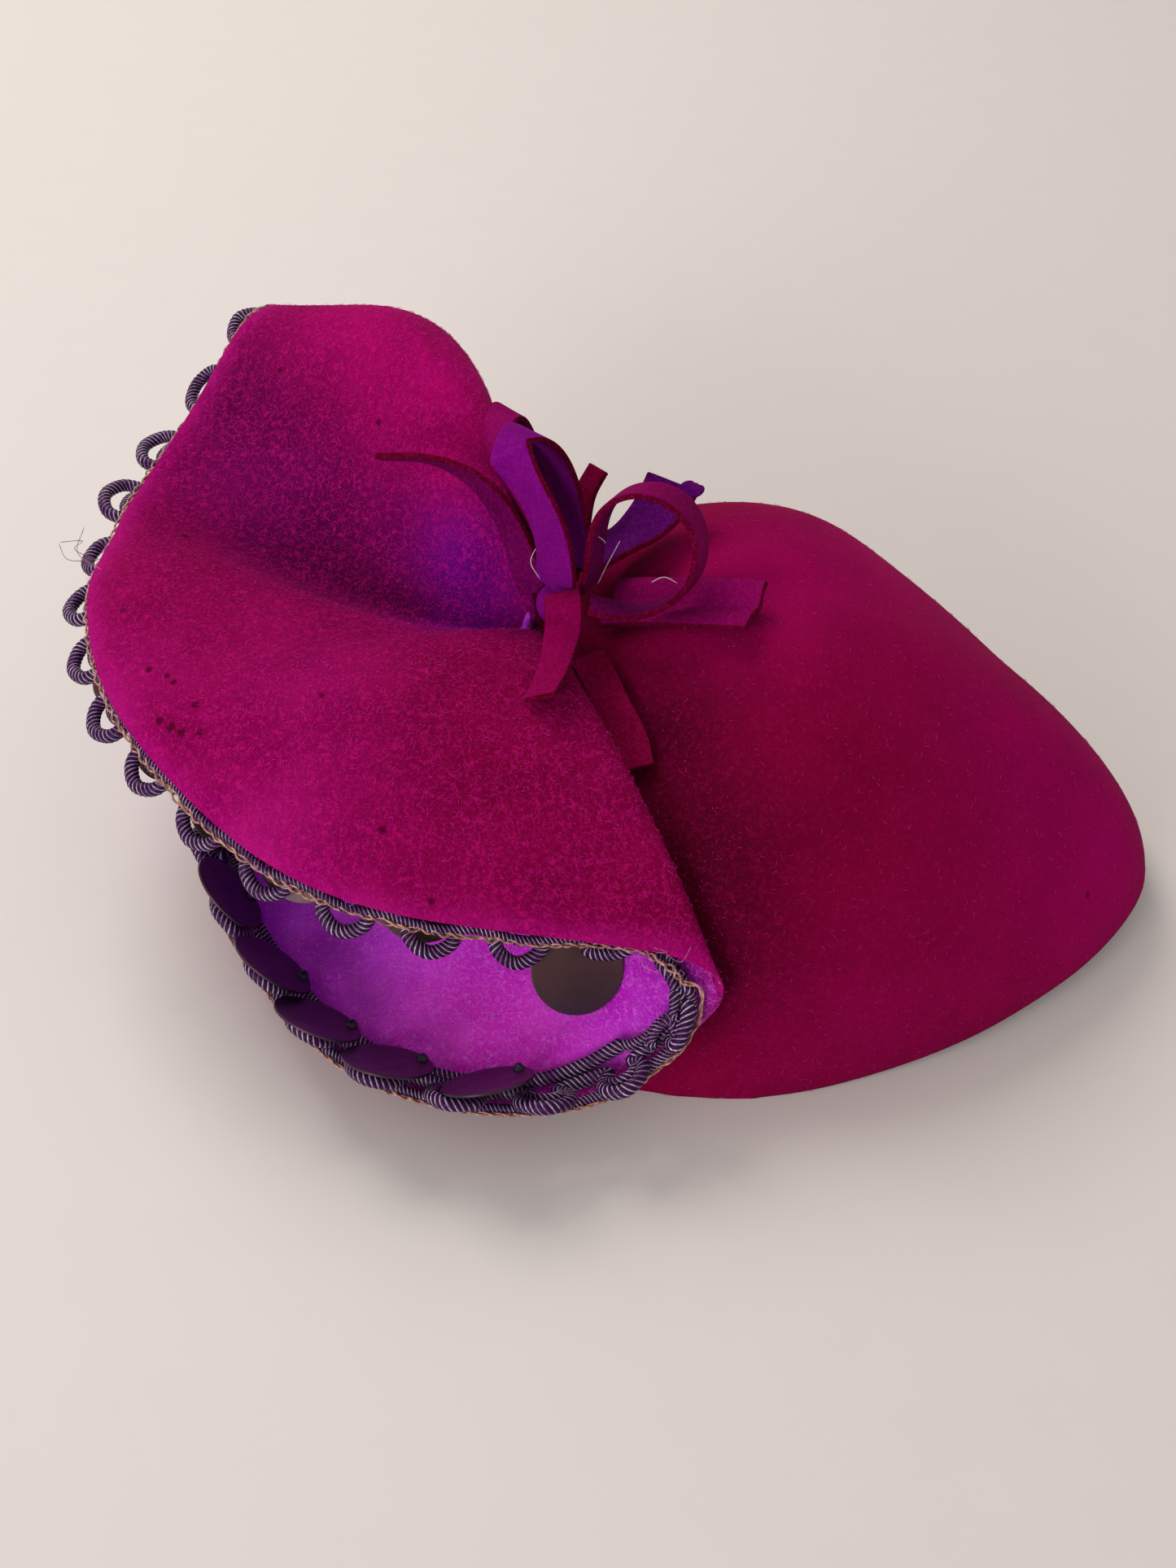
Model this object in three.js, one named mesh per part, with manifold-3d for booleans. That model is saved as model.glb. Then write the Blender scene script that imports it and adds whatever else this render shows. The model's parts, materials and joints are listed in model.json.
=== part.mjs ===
// A percher hat of thick two-coloured fur felt. A teardrop crown lies on its rim, and a wide brim
// gathered at the top of the crown flares into a trumpet whose lower side lies on the table. The
// trumpet's edge is trimmed inside with a loop gimp and hung with round paillettes. Narrow felt
// strips make a band between crown and brim, and a bow of loops and cut tails over the gathers.
// Millimetres, +Z up, the table at Z 0. The tail of the crown points to +X, the trumpet to -X.
import * as THREE from "three";
import { mergeVertices } from "three/addons/utils/BufferGeometryUtils.js";
import Module from "manifold-3d";

const wasm = await Module();
wasm.setup();

// Driving dimensions
const feltThickness = 1.8;
const clearance = 0.3;
const crownReach = 101;
const crownHeight = 78;
const crownMiddle = [37.1, 6];
const knotPlace = [crownMiddle[0] - 0.43663 * crownReach, 8, 0.91026 * crownHeight];
const gatherDipPlace = [crownMiddle[0] - 0.30792 * crownReach, 8];
const gatherDipDepth = 8;
const gatherDipReach = 25;
const gatherFoldDepth = 1.6;
const gatherFoldCount = 9;
const brimReach = 105;
const brimSpread = 0.9901 * crownReach;
const brimRise = 1.28205 * crownHeight;
const brimEdgeCurl = 3;
const brimMiddle = [knotPlace[0] - 3, 8];
const neckPlace = [knotPlace[0] - 5, 8, knotPlace[2] - 8];
const bowReach = 40;
const neckBandReach = 0.39604 * crownReach;
const neckBandDrop = 0.51282 * crownHeight;
const bowStripWidth = 9;
const bowStripThickness = 1.5;
const knotSize = [10, 12, 9];
const gimpCordDiameter = 3.1;
const gimpLoopPitch = 19;
const gimpLoopWidth = 10.5;
const gimpLoopReach = 10.5;
const gimpInset = 2.4;
const gimpHeaderInset = 6.5;
const gimpStiffness = 7;
const gimpHeaderSpan = [0.045, 0.95];
const pailletteDiameter = 20;
const pailletteThickness = 0.6;
const pailletteStandoff = 1.2;
const pailletteBeadDiameter = 3.2;

// The crown's rim seen from above, about its middle: turn in degrees from +X, reach as a share of
// crownReach, lift off the table as a share of crownHeight, fullness as the power of the dome's arc.
const crownRim = [
  { turn: -15, reach: 1.0, lift: 0.13, fullness: 1.62 },
  { turn: -27, reach: 0.955, lift: 0.1, fullness: 1.7 },
  { turn: -45, reach: 0.87, lift: 0.055, fullness: 1.9 },
  { turn: -68, reach: 0.815, lift: 0.012, fullness: 2.05 },
  { turn: -90, reach: 0.825, lift: 0.0, fullness: 1.95 },
  { turn: -112, reach: 0.845, lift: 0.0, fullness: 1.54 },
  { turn: -134, reach: 0.825, lift: 0.0, fullness: 1.46 },
  { turn: -156, reach: 0.77, lift: 0.0, fullness: 1.7 },
  { turn: -180, reach: 0.74, lift: 0.0, fullness: 1.9 },
  { turn: -204, reach: 0.77, lift: 0.0, fullness: 1.9 },
  { turn: -232, reach: 0.84, lift: 0.0, fullness: 1.9 },
  { turn: -262, reach: 0.84, lift: 0.0, fullness: 2.0 },
  { turn: -290, reach: 0.8, lift: 0.012, fullness: 2.05 },
  { turn: -318, reach: 0.765, lift: 0.04, fullness: 1.8 },
  { turn: -344, reach: 0.825, lift: 0.08, fullness: 1.6 },
  { turn: -360, reach: 0.93, lift: 0.11, fullness: 1.57 },
];

// The brim's ribs, from the near fold over the top to the far fold and back along the table. A rib
// leaves the neck and ends at the lip. along, across and rise place its end, as shares of
// brimReach, brimSpread and brimRise; innerRise and outerRise are the heights it bends over, as
// shares of brimRise, and swing moves those bends sideways as a share of brimSpread. curl is how
// far the edge rolls into the trumpet, as a share of brimEdgeCurl.
const brimInnerBend = 0.3;
const brimOuterBend = 0.68;
const brimRibs = [
  {
    rib: "near_fold", along: -0.32, across: -0.79, rise: 0.39, innerRise: 0.72, outerRise: 0.66,
    swing: -0.04, curl: 0,
  },
  {
    rib: "near_front", along: -0.07, across: -0.76, rise: 0.43, innerRise: 0.76, outerRise: 0.71,
    swing: 0, curl: 0.5,
  },
  {
    rib: "front", along: 0.33, across: -0.75, rise: 0.52, innerRise: 0.78, outerRise: 0.75,
    swing: 0, curl: 0.7,
  },
  {
    rib: "front_left", along: 0.575, across: -0.65, rise: 0.58, innerRise: 0.8, outerRise: 0.78,
    swing: -0.02, curl: 0.8,
  },
  {
    rib: "left_near", along: 0.83, across: -0.395, rise: 0.66, innerRise: 0.77, outerRise: 0.77,
    swing: -0.04, curl: 0.8,
  },
  {
    rib: "left", along: 0.955, across: -0.17, rise: 0.68, innerRise: 0.71, outerRise: 0.76,
    swing: -0.08, curl: 0.8,
  },
  {
    rib: "left_crest", along: 1.015, across: 0.09, rise: 0.7, innerRise: 0.67, outerRise: 0.77,
    swing: -0.15, curl: 0.8,
  },
  {
    rib: "crest", along: 1.0, across: 0.29, rise: 0.68, innerRise: 0.61, outerRise: 0.78,
    swing: -0.16, curl: 0.7,
  },
  {
    rib: "valley_near", along: 0.985, across: 0.4, rise: 0.68, innerRise: 0.46, outerRise: 0.6,
    swing: -0.04, curl: 0.7,
  },
  {
    rib: "valley", along: 0.96, across: 0.5, rise: 0.68, innerRise: 0.44, outerRise: 0.51,
    swing: 0, curl: 0.7,
  },
  {
    rib: "valley_far", along: 0.87, across: 0.76, rise: 0.74, innerRise: 0.62, outerRise: 0.68,
    swing: 0, curl: 0.7,
  },
  {
    rib: "lobe", along: 0.7, across: 0.947, rise: 0.93, innerRise: 0.8, outerRise: 0.97,
    swing: 0, curl: 0.6,
  },
  {
    rib: "lobe_top", along: 0.5, across: 1.04, rise: 0.77, innerRise: 0.92, outerRise: 1.28,
    swing: 0, curl: 0.4,
  },
  {
    rib: "lobe_far", along: 0.34, across: 1.04, rise: 0.7, innerRise: 0.98, outerRise: 1.2,
    swing: 0, curl: 0.2,
  },
  {
    rib: "far_corner", along: 0.235, across: 0.98, rise: 0.6, innerRise: 0.98, outerRise: 1.05,
    swing: 0, curl: 0,
  },
  {
    rib: "far_fold", along: 0.21, across: 0.95, rise: 0.42, innerRise: 0.93, outerRise: 0.86,
    swing: 0, curl: 0,
  },
  {
    rib: "far_back", along: 0.245, across: 0.98, rise: 0.22, innerRise: 0.8, outerRise: 0.62,
    swing: 0, curl: 0,
  },
  {
    rib: "back_corner", along: 0.345, across: 0.92, rise: 0.09, innerRise: 0.66, outerRise: 0.3,
    swing: 0, curl: 0,
  },
  {
    rib: "back_low", along: 0.45, across: 0.77, rise: 0.06, innerRise: 0.52, outerRise: 0.04,
    swing: 0, curl: 0.6,
  },
  {
    rib: "left_back_low", along: 0.65, across: 0.54, rise: 0.05, innerRise: 0.4, outerRise: -0.105,
    swing: 0, curl: 1,
  },
  {
    rib: "left_low", along: 0.8, across: 0.1, rise: 0.07, innerRise: 0.35, outerRise: -0.125,
    swing: 0, curl: 1,
  },
  {
    rib: "left_near_low", along: 0.78, across: -0.345, rise: 0.14, innerRise: 0.35, outerRise: -0.07,
    swing: 0, curl: 1,
  },
  {
    rib: "front_left_low", along: 0.64, across: -0.61, rise: 0.09, innerRise: 0.42, outerRise: -0.06,
    swing: 0, curl: 1.1,
  },
  {
    rib: "front_low", along: 0.4, across: -0.87, rise: 0.07, innerRise: 0.54, outerRise: 0.02,
    swing: 0, curl: 1.3,
  },
  {
    rib: "near_low", along: 0.07, across: -0.98, rise: 0.08, innerRise: 0.58, outerRise: 0.08,
    swing: 0, curl: 1.1,
  },
  {
    rib: "near_under", along: -0.14, across: -0.92, rise: 0.12, innerRise: 0.66, outerRise: 0.33,
    swing: 0, curl: 0.4,
  },
  {
    rib: "near_fold_under", along: -0.31, across: -0.86, rise: 0.25, innerRise: 0.68, outerRise: 0.49,
    swing: -0.03, curl: 0,
  },
  {
    rib: "near_corner", along: -0.365, across: -0.83, rise: 0.33, innerRise: 0.71, outerRise: 0.58,
    swing: -0.04, curl: 0,
  },
];

// How the gimp lies along the lip, at shares of the lip's length from the near fold: lean in degrees
// into the trumpet, reach as a share of gimpLoopReach, apart as a share of the header's usual
// distance from the loops, cut as a share of gimpStiffness.
const trimLays = [
  { at: 0, lean: 20, reach: 0.12, apart: 2.0, cut: 2.7 },
  { at: 0.02, lean: 5, reach: 0.4, apart: 1.7, cut: 2 },
  { at: 0.05, lean: 0, reach: 0.95, apart: 1, cut: 1 },
  { at: 0.3, lean: 0, reach: 1, apart: 1, cut: 1 },
  { at: 0.34, lean: 0, reach: 1, apart: 1.1, cut: 0.4 },
  { at: 0.4, lean: 0, reach: 1, apart: 1.1, cut: 0.6 },
  { at: 0.46, lean: 0, reach: 1, apart: 1.2, cut: 1 },
  { at: 0.5, lean: 0, reach: 0.8, apart: 1.6, cut: 1 },
  { at: 0.56, lean: 0, reach: 0.8, apart: 1.7, cut: 1 },
  { at: 0.6, lean: 5, reach: 1, apart: 1.1, cut: 1 },
  { at: 0.8, lean: 10, reach: 1, apart: 1, cut: 1 },
  { at: 0.87, lean: 15, reach: 1, apart: 1, cut: 1 },
  { at: 0.9, lean: 22, reach: 1, apart: 1, cut: 1 },
  { at: 0.93, lean: 48, reach: 0.95, apart: 1, cut: 1 },
  { at: 0.96, lean: 50, reach: 0.6, apart: 1.2, cut: 1.6 },
  { at: 0.98, lean: 40, reach: 0.3, apart: 1.7, cut: 2.1 },
  { at: 1, lean: 20, reach: 0.12, apart: 2.0, cut: 2.7 },
];

// The paillettes: loop is the place along the lip, counted in gimp loops from a share of the lip's
// length: 0 and 1 are the near fold and 0.5 the far one. turn swings the disc from straight off the
// lip towards the next rib, and drop leans it into the trumpet, both in degrees.
// seat 0 sets its bead on the cord between two loops and seat -1 on a loop's far end.
const pailletteHangs = [
  { from: 0, loop: 0.99, turn: 45, drop: -13, seat: -0.9 },
  { from: 0, loop: 2.7, turn: 95, drop: 3, seat: 0 },
  { from: 0, loop: 4.26, turn: 95, drop: 3, seat: 0 },
  { from: 0, loop: 5.51, turn: 95, drop: 3, seat: 0 },
  { from: 0, loop: 6.76, turn: 100, drop: 3, seat: 0 },
  { from: 0, loop: 8.25, turn: 100, drop: 3, seat: 0 },
  { from: 0, loop: 9.5, turn: 105, drop: 8, seat: 0 },
  { from: 0, loop: 10.75, turn: 112, drop: 15, seat: 0 },
  { from: 0, loop: 12.24, turn: 120, drop: 8, seat: 0 },
  { from: 0, loop: 13.36, turn: 120, drop: 8, seat: 0 },
  { from: 0.5, loop: -2.28, turn: 110, drop: 10, seat: 0 },
  { from: 1, loop: -14.44, turn: -60, drop: 15, seat: 0 },
  { from: 1, loop: -13.3, turn: -60, drop: 3, seat: 0 },
  { from: 1, loop: -12.16, turn: -45, drop: 3, seat: 0 },
  { from: 1, loop: -10.83, turn: -20, drop: 0, seat: 0 },
  { from: 1, loop: -9.5, turn: 5, drop: 0, seat: 0 },
  { from: 1, loop: -8.25, turn: 10, drop: -3, seat: 0 },
  { from: 1, loop: -6.76, turn: -20, drop: -3, seat: 0 },
  { from: 1, loop: -5.66, turn: -30, drop: -3, seat: 0 },
  { from: 1, loop: -4.56, turn: -40, drop: -3, seat: 0 },
  { from: 1, loop: -3.15, turn: -50, drop: -3, seat: 0 },
];

// The felt strips of the bow, each as places along its middle line from the knot, as shares of
// bowReach, or of its own reach along X, Y and Z. The strip's width lies along root at the knot and
// along tip at its other end.
const bowStrips = [
  {
    name: "bow_loop_tall", width: 1.15, root: [0.8, -0.6, 0], tip: [0.7, -0.7, 0],
    line: [
      { along: -0.01, across: -0.03, rise: 0.14 },
      { along: -0.00, across: -0.10, rise: 0.44 },
      { along: -0.06, across: -0.05, rise: 0.68 },
      { along: -0.18, across: 0.03, rise: 0.87 },
      { along: -0.26, across: 0.15, rise: 0.97 },
      { along: -0.19, across: 0.30, rise: 0.97 },
      { along: -0.07, across: 0.45, rise: 0.80 },
      { along: 0.02, across: 0.50, rise: 0.55 },
      { along: 0.07, across: 0.43, rise: 0.26 },
      { along: 0.08, across: 0.23, rise: 0.06 },
    ],
  },
  {
    name: "bow_loop_back", width: 1, root: [0.7, -0.7, 0], tip: [0.6, -0.8, 0],
    line: [
      { along: -0.01, across: 0.15, rise: 0.05 },
      { along: -0.12, across: 0.23, rise: 0.41 },
      { along: -0.27, across: 0.40, rise: 0.68 },
      { along: -0.35, across: 0.55, rise: 0.82 },
      { along: -0.29, across: 0.67, rise: 0.87 },
      { along: -0.21, across: 0.80, rise: 0.66 },
      { along: -0.10, across: 0.73, rise: 0.27 },
      { along: 0.02, across: 0.45, rise: -0.06 },
    ],
  },
  {
    name: "bow_ring", width: 0.9, root: [-0.42, -0.85, 0.3], tip: [-0.42, -0.85, 0.3],
    line: [
      { along: 0.18, across: -0.01, rise: 0.13 },
      { along: 0.21, across: 0.00, rise: 0.30 },
      { along: 0.22, across: 0.01, rise: 0.49 },
      { along: 0.28, across: 0.03, rise: 0.69 },
      { along: 0.46, across: 0.03, rise: 0.79 },
      { along: 0.67, across: 0.03, rise: 0.70 },
      { along: 0.80, across: 0.03, rise: 0.48 },
      { along: 0.80, across: -0.06, rise: 0.31 },
      { along: 0.70, across: -0.16, rise: 0.18 },
      { along: 0.49, across: -0.20, rise: 0.11 },
      { along: 0.31, across: -0.24, rise: 0.14 },
      { along: 0.18, across: -0.23, rise: 0.19 },
    ],
  },
  {
    name: "bow_tail_left", width: 0.85, root: [0.9, -0.3, 0.3], tip: [0.1, -0.75, 0.6],
    line: [
      { along: -0.13, across: 0.1, rise: 0 },
      { along: -0.19, across: 0.17, rise: 0.17 },
      { along: -0.28, across: 0.28, rise: 0.38 },
      { along: -0.41, across: 0.4, rise: 0.51 },
      { along: -0.58, across: 0.5, rise: 0.58 },
      { along: -0.77, across: 0.55, rise: 0.61 },
      { along: -1.01, across: 0.6, rise: 0.58 },
    ],
  },
  {
    name: "bow_tail_front", width: 0.9, root: [0.97, 0.2, 0.15], tip: [0.9, 0.2, 0.4],
    line: [
      { along: 0.03, across: -0.17, rise: 0.21 },
      { along: 0.04, across: -0.28, rise: 0.23 },
      { along: 0.03, across: -0.39, rise: 0.08 },
      { along: -0.02, across: -0.68, rise: 0.07 },
      { along: -0.08, across: -0.87, rise: 0.08 },
    ],
  },
  {
    name: "bow_tail_right", width: 1.5, root: [0.1, 0.95, 0.15], tip: [0.3, 0.9, 0.25],
    line: [
      { along: 0.30, across: 0.13, rise: -0.11 },
      { along: 0.49, across: 0.03, rise: -0.01 },
      { along: 0.71, across: -0.07, rise: 0.07 },
      { along: 0.93, across: -0.21, rise: 0.18 },
      { along: 1.10, across: -0.31, rise: 0.25 },
    ],
  },
  {
    name: "bow_tail_scalloped", width: 1.6, root: [0.6, -0.5, 0.5], tip: [0.8, -0.5, 0.1],
    line: [
      { along: 0.14, across: 0.3, rise: 0.0 },
      { along: 0.32, across: 0.45, rise: 0.05 },
      { along: 0.49, across: 0.57, rise: 0.1 },
      { along: 0.61, across: 0.7, rise: 0.17 },
      { along: 0.68, across: 0.8, rise: 0.26 },
    ],
  },
  {
    name: "bow_tail_back", width: 0.6, root: [0.9, -0.4, 0], tip: [0.8, -0.5, 0.2],
    line: [
      { along: 0.05, across: 0.50, rise: -0.23 },
      { along: 0.12, across: 0.62, rise: 0.05 },
      { along: 0.16, across: 0.72, rise: 0.24 },
      { along: 0.24, across: 0.80, rise: 0.36 },
    ],
  },
  {
    name: "neck_band", reach: [neckBandReach, neckBandReach, neckBandDrop], width: 0.9,
    root: [1, 0, 0.2], tip: [0.9, 0.3, 0.3],
    line: [
      { along: 0.17, across: -0.23, rise: -0.20 },
      { along: 0.25, across: -0.44, rise: -0.20 },
      { along: 0.32, across: -0.64, rise: -0.23 },
      { along: 0.40, across: -0.81, rise: -0.27 },
      { along: 0.44, across: -1.00, rise: -0.33 },
    ],
  },
];

const crownRimSteps = 60;
const crownRiseSteps = 10;
const brimRoundSteps = 76;
const brimLengthMarks = [0, 0.1, 0.22, 0.36, 0.5, 0.64, 0.77, 0.87, 0.94, 1];
const gimpHeaderSteps = 76;
const gimpSides = 5;
const pailletteSides = 12;
const stripSteps = 12;

// Materials
const felt = new THREE.MeshStandardMaterial({ color: 0xa50052, roughness: 0.95, metalness: 0 });
const violetFelt = new THREE.MeshStandardMaterial({ color: 0x6a1a9c, roughness: 0.95, metalness: 0 });
const cordSilk = new THREE.MeshStandardMaterial({ color: 0x4b2f63, roughness: 0.45, metalness: 0.1 });
const pailletteFilm = new THREE.MeshStandardMaterial({ color: 0x2a1a35, roughness: 0.4, metalness: 0.2 });

const hat = new THREE.Group();

function addPiece(name, geometry, material) {
  const mesh = new THREE.Mesh(geometry, material);
  mesh.name = name;
  hat.add(mesh);
}

function geometryOf(points, triangles) {
  const geometry = new THREE.BufferGeometry();
  const flat = points.flatMap((p) => [p.x, p.y, p.z]);
  geometry.setAttribute("position", new THREE.Float32BufferAttribute(flat, 3));
  geometry.setIndex(triangles.flat());
  return geometry;
}

function solidOf(geometry) {
  const bare = new THREE.BufferGeometry();
  bare.setAttribute("position", geometry.getAttribute("position").clone());
  if (geometry.index) bare.setIndex(geometry.index.clone());
  const welded = mergeVertices(bare, 1e-4);
  return new wasm.Manifold(
    new wasm.Mesh({
      numProp: 3,
      vertProperties: welded.attributes.position.array,
      triVerts: new Uint32Array(welded.index.array),
    }),
  );
}

function geometryOfSolid(solid) {
  const mesh = solid.getMesh();
  const geometry = new THREE.BufferGeometry();
  geometry.setAttribute("position", new THREE.BufferAttribute(mesh.vertProperties, 3));
  geometry.setIndex(new THREE.BufferAttribute(mesh.triVerts, 1));
  return geometry;
}

const shares = (count, closed) =>
  Array.from({ length: closed ? count : count + 1 }, (_, i) => i / count);

// A value of a closed table at any turn, smooth from row to row.
function smoothAround(rows, key, turn) {
  const count = rows.length;
  const period = 360;
  const at = (k) => rows[((k % count) + count) % count];
  const place = (((rows[0].turn - turn) % period) + period) % period;
  let i = 0;
  while (i < count - 1 && rows[0].turn - rows[i + 1].turn <= place) i++;
  const start = rows[0].turn - at(i).turn;
  const end = i === count - 1 ? period : rows[0].turn - at(i + 1).turn;
  const t = end > start ? (place - start) / (end - start) : 0;
  const [a, b, c, d] = [at(i - 1)[key], at(i)[key], at(i + 1)[key], at(i + 2)[key]];
  return b + 0.5 * t * (c - a + t * (2 * a - 5 * b + 4 * c - d + t * (3 * (b - c) + d - a)));
}

// A wall of felt half its thickness to each side of a surface. round goes round the surface and
// way goes along it, both as shares; at way 0 it closes in one point, whose wall looks along cap.
function feltWall(surface, rounds, ways, thickness, cap) {
  const step = 1e-3;
  const [outer, inner] = [[], []];
  for (const way of ways) {
    const inside = Math.min(Math.max(way, 0.02), 1 - step);
    for (const round of way === 0 ? [0] : rounds) {
      const place = surface(round, way);
      const here = surface(round, inside);
      const along = surface(round, inside + step).sub(here);
      const across = surface(round + step, inside).sub(here);
      const side = way === 0 ? cap.clone() : across.cross(along).normalize();
      side.multiplyScalar(thickness / 2);
      outer.push(place.clone().add(side));
      inner.push(place.clone().sub(side));
    }
  }
  const count = rounds.length;
  const offset = outer.length;
  const rings = ways.length - 1;
  const at = (j, i) => (j === 0 ? 0 : 1 + (j - 1) * count + (i % count));
  const triangles = [];
  const both = (a, b, c) => triangles.push([a, b, c], [offset + a, offset + c, offset + b]);
  for (let i = 0; i < count; i++) both(0, at(1, i + 1), at(1, i));
  for (let j = 1; j < rings; j++) {
    for (let i = 0; i < count; i++) {
      both(at(j, i), at(j, i + 1), at(j + 1, i + 1));
      both(at(j, i), at(j + 1, i + 1), at(j + 1, i));
    }
  }
  for (let i = 0; i < count; i++) {
    const [a, b] = [at(rings, i), at(rings, i + 1)];
    triangles.push([a, b, offset + b], [a, offset + b, offset + a]);
  }
  return geometryOf([...outer, ...inner], triangles);
}

// Sections joined into one closed skin: each is a ring of points, and the ends are closed flat
// unless the sections come round to the first again.
function skin(sections, closed) {
  const sides = sections[0].length;
  const triangles = [];
  const last = sections.length - 1;
  for (let j = 0; j < (closed ? sections.length : last); j++) {
    const next = (j + 1) % sections.length;
    for (let i = 0; i < sides; i++) {
      const k = (i + 1) % sides;
      const [a, b, c, d] = [j * sides + i, j * sides + k, next * sides + k, next * sides + i];
      triangles.push([a, b, c], [a, c, d]);
    }
  }
  if (!closed) {
    for (let i = 1; i < sides - 1; i++) {
      triangles.push([0, i + 1, i], [last * sides, last * sides + i, last * sides + i + 1]);
    }
  }
  return geometryOf(sections.flat(), triangles);
}

// A round section of a cord about a place, in the plane of two directions across the cord.
function cordSection(place, one, other, diameter, sides) {
  return Array.from({ length: sides }, (_, i) => {
    const angle = (2 * Math.PI * i) / sides;
    return place
      .clone()
      .addScaledVector(one, (Math.cos(angle) * diameter) / 2)
      .addScaledVector(other, (Math.sin(angle) * diameter) / 2);
  });
}

// The dome over a place in plan, before the gathers pull it down at the knot.
function domeHeight(x, y) {
  const [dx, dy] = [x - crownMiddle[0], y - crownMiddle[1]];
  const turn = THREE.MathUtils.radToDeg(Math.atan2(dy, dx));
  const reach = smoothAround(crownRim, "reach", turn) * crownReach;
  const lift = smoothAround(crownRim, "lift", turn);
  const power = smoothAround(crownRim, "fullness", turn);
  const share = Math.min(Math.hypot(dx, dy) / reach, 1);
  const dome = Math.pow(Math.max(1 - Math.pow(share, power), 0), 1 / power);
  return crownHeight * (dome + lift * share * share * (1 - dome));
}

// The crown's surface, drawn along lines that run from under the knot out to the rim.
function crownSurface(round, way) {
  const turn = -360 * round;
  const reach = smoothAround(crownRim, "reach", turn) * crownReach;
  const angle = THREE.MathUtils.degToRad(turn);
  const rim = [crownMiddle[0] + reach * Math.cos(angle), crownMiddle[1] + reach * Math.sin(angle)];
  const share = Math.sin((way * Math.PI) / 2);
  const x = knotPlace[0] + (rim[0] - knotPlace[0]) * share;
  const y = knotPlace[1] + (rim[1] - knotPlace[1]) * share;
  const fromDip = Math.hypot(x - gatherDipPlace[0], y - gatherDipPlace[1]) / gatherDipReach;
  const fromKnot = Math.hypot(x - knotPlace[0], y - knotPlace[1]) / gatherDipReach;
  const dip = gatherDipDepth * Math.exp(-fromDip * fromDip);
  const fold =
    gatherFoldDepth * Math.cos(gatherFoldCount * angle) * fromKnot * Math.exp(1 - 1.6 * fromKnot);
  return new THREE.Vector3(x, y, domeHeight(x, y) - dip - fold * (1 - way));
}

const neck = new THREE.Vector3(...neckPlace);

function brimLip(row) {
  return new THREE.Vector3(
    brimMiddle[0] - row.along * brimReach,
    brimMiddle[1] + row.across * brimSpread,
    row.rise * brimRise,
  );
}

function brimBend(row, share, rise) {
  const place = neck.clone().lerp(brimLip(row), share);
  place.y += row.swing * brimSpread;
  return place.setZ(rise * brimRise);
}

const aroundBrim = (points) => new THREE.CatmullRomCurve3(points, true, "centripetal");
const lipLine = aroundBrim(brimRibs.map(brimLip));
const innerLine = aroundBrim(brimRibs.map((row) => brimBend(row, brimInnerBend, row.innerRise)));
const outerLine = aroundBrim(brimRibs.map((row) => brimBend(row, brimOuterBend, row.outerRise)));

function brimFlow(round, way) {
  const turn = ((round % 1) + 1) % 1;
  const back = 1 - way;
  return neck
    .clone()
    .multiplyScalar(back ** 3)
    .addScaledVector(innerLine.getPoint(turn), 3 * way * back ** 2)
    .addScaledVector(outerLine.getPoint(turn), 3 * way ** 2 * back)
    .addScaledVector(lipLine.getPoint(turn), way ** 3);
}

// The direction that looks from the brim's surface into the trumpet.
function brimInward(round, way) {
  const step = 1e-3;
  const inside = Math.min(way, 1 - step);
  const here = brimFlow(round, inside);
  const along = brimFlow(round, inside + step).sub(here);
  const across = brimFlow(round + step, inside).sub(here);
  return along.cross(across).normalize();
}

// A value of the ribs' table between one rib and the next.
function alongRibs(key, round) {
  const place = (((round % 1) + 1) % 1) * brimRibs.length;
  const i = Math.floor(place);
  const [from, to] = [brimRibs[i], brimRibs[(i + 1) % brimRibs.length]];
  return from[key] + (to[key] - from[key]) * (place - i);
}

function brimSurface(round, way) {
  const curlStart = 0.82;
  const curl = Math.max(way - curlStart, 0) / (1 - curlStart);
  const roll = brimEdgeCurl * alongRibs("curl", round) * curl * curl;
  return brimFlow(round, way).addScaledVector(brimInward(round, Math.max(way, 0.02)), roll);
}

const gimpStandoff = feltThickness / 2 + 3 * clearance + gimpCordDiameter / 2;

// The lip's length, so that the trims can be spaced along it.
const lipMarks = shares(400, false).map((round) => ({ round, place: brimSurface(round, 1) }));
lipMarks.forEach((mark, i) => {
  const before = lipMarks[i - 1];
  mark.distance = before ? before.distance + mark.place.distanceTo(before.place) : 0;
});
const lipLength = lipMarks.at(-1).distance;

function lipRound(share) {
  const distance = (((share % 1) + 1) % 1) * lipLength;
  const i = Math.max(lipMarks.findIndex((mark) => mark.distance > distance), 1);
  const [from, to] = [lipMarks[i - 1], lipMarks[i]];
  const t = (distance - from.distance) / (to.distance - from.distance);
  return from.round + (to.round - from.round) * t;
}

function trimLay(key, at) {
  const share = ((at % 1) + 1) % 1;
  const i = trimLays.findLastIndex((row) => row.at <= share);
  const [from, to] = [trimLays[i], trimLays[i + 1]];
  return from[key] + ((to[key] - from[key]) * (share - from.at)) / (to.at - from.at);
}

// A place on the felt so far in from the lip: out points off the lip in the felt's own plane, in
// points into the trumpet and along follows the lip.
function lipPlace(share, inset) {
  const round = lipRound(share);
  const last = brimLengthMarks.at(-2);
  const lip = brimSurface(round, 1);
  const perWay = lip.distanceTo(brimSurface(round, last)) / (1 - last);
  const way = 1 - inset / perWay;
  const place = brimSurface(round, way);
  const out = brimSurface(round, way + 0.01).sub(brimSurface(round, way - 0.01)).normalize();
  const along = brimSurface(round + 0.002, way).sub(brimSurface(round - 0.002, way)).normalize();
  const into = out.clone().cross(along).normalize();
  out.crossVectors(along, into);
  return { place: place.addScaledVector(into, gimpStandoff), out, along, into };
}

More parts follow.
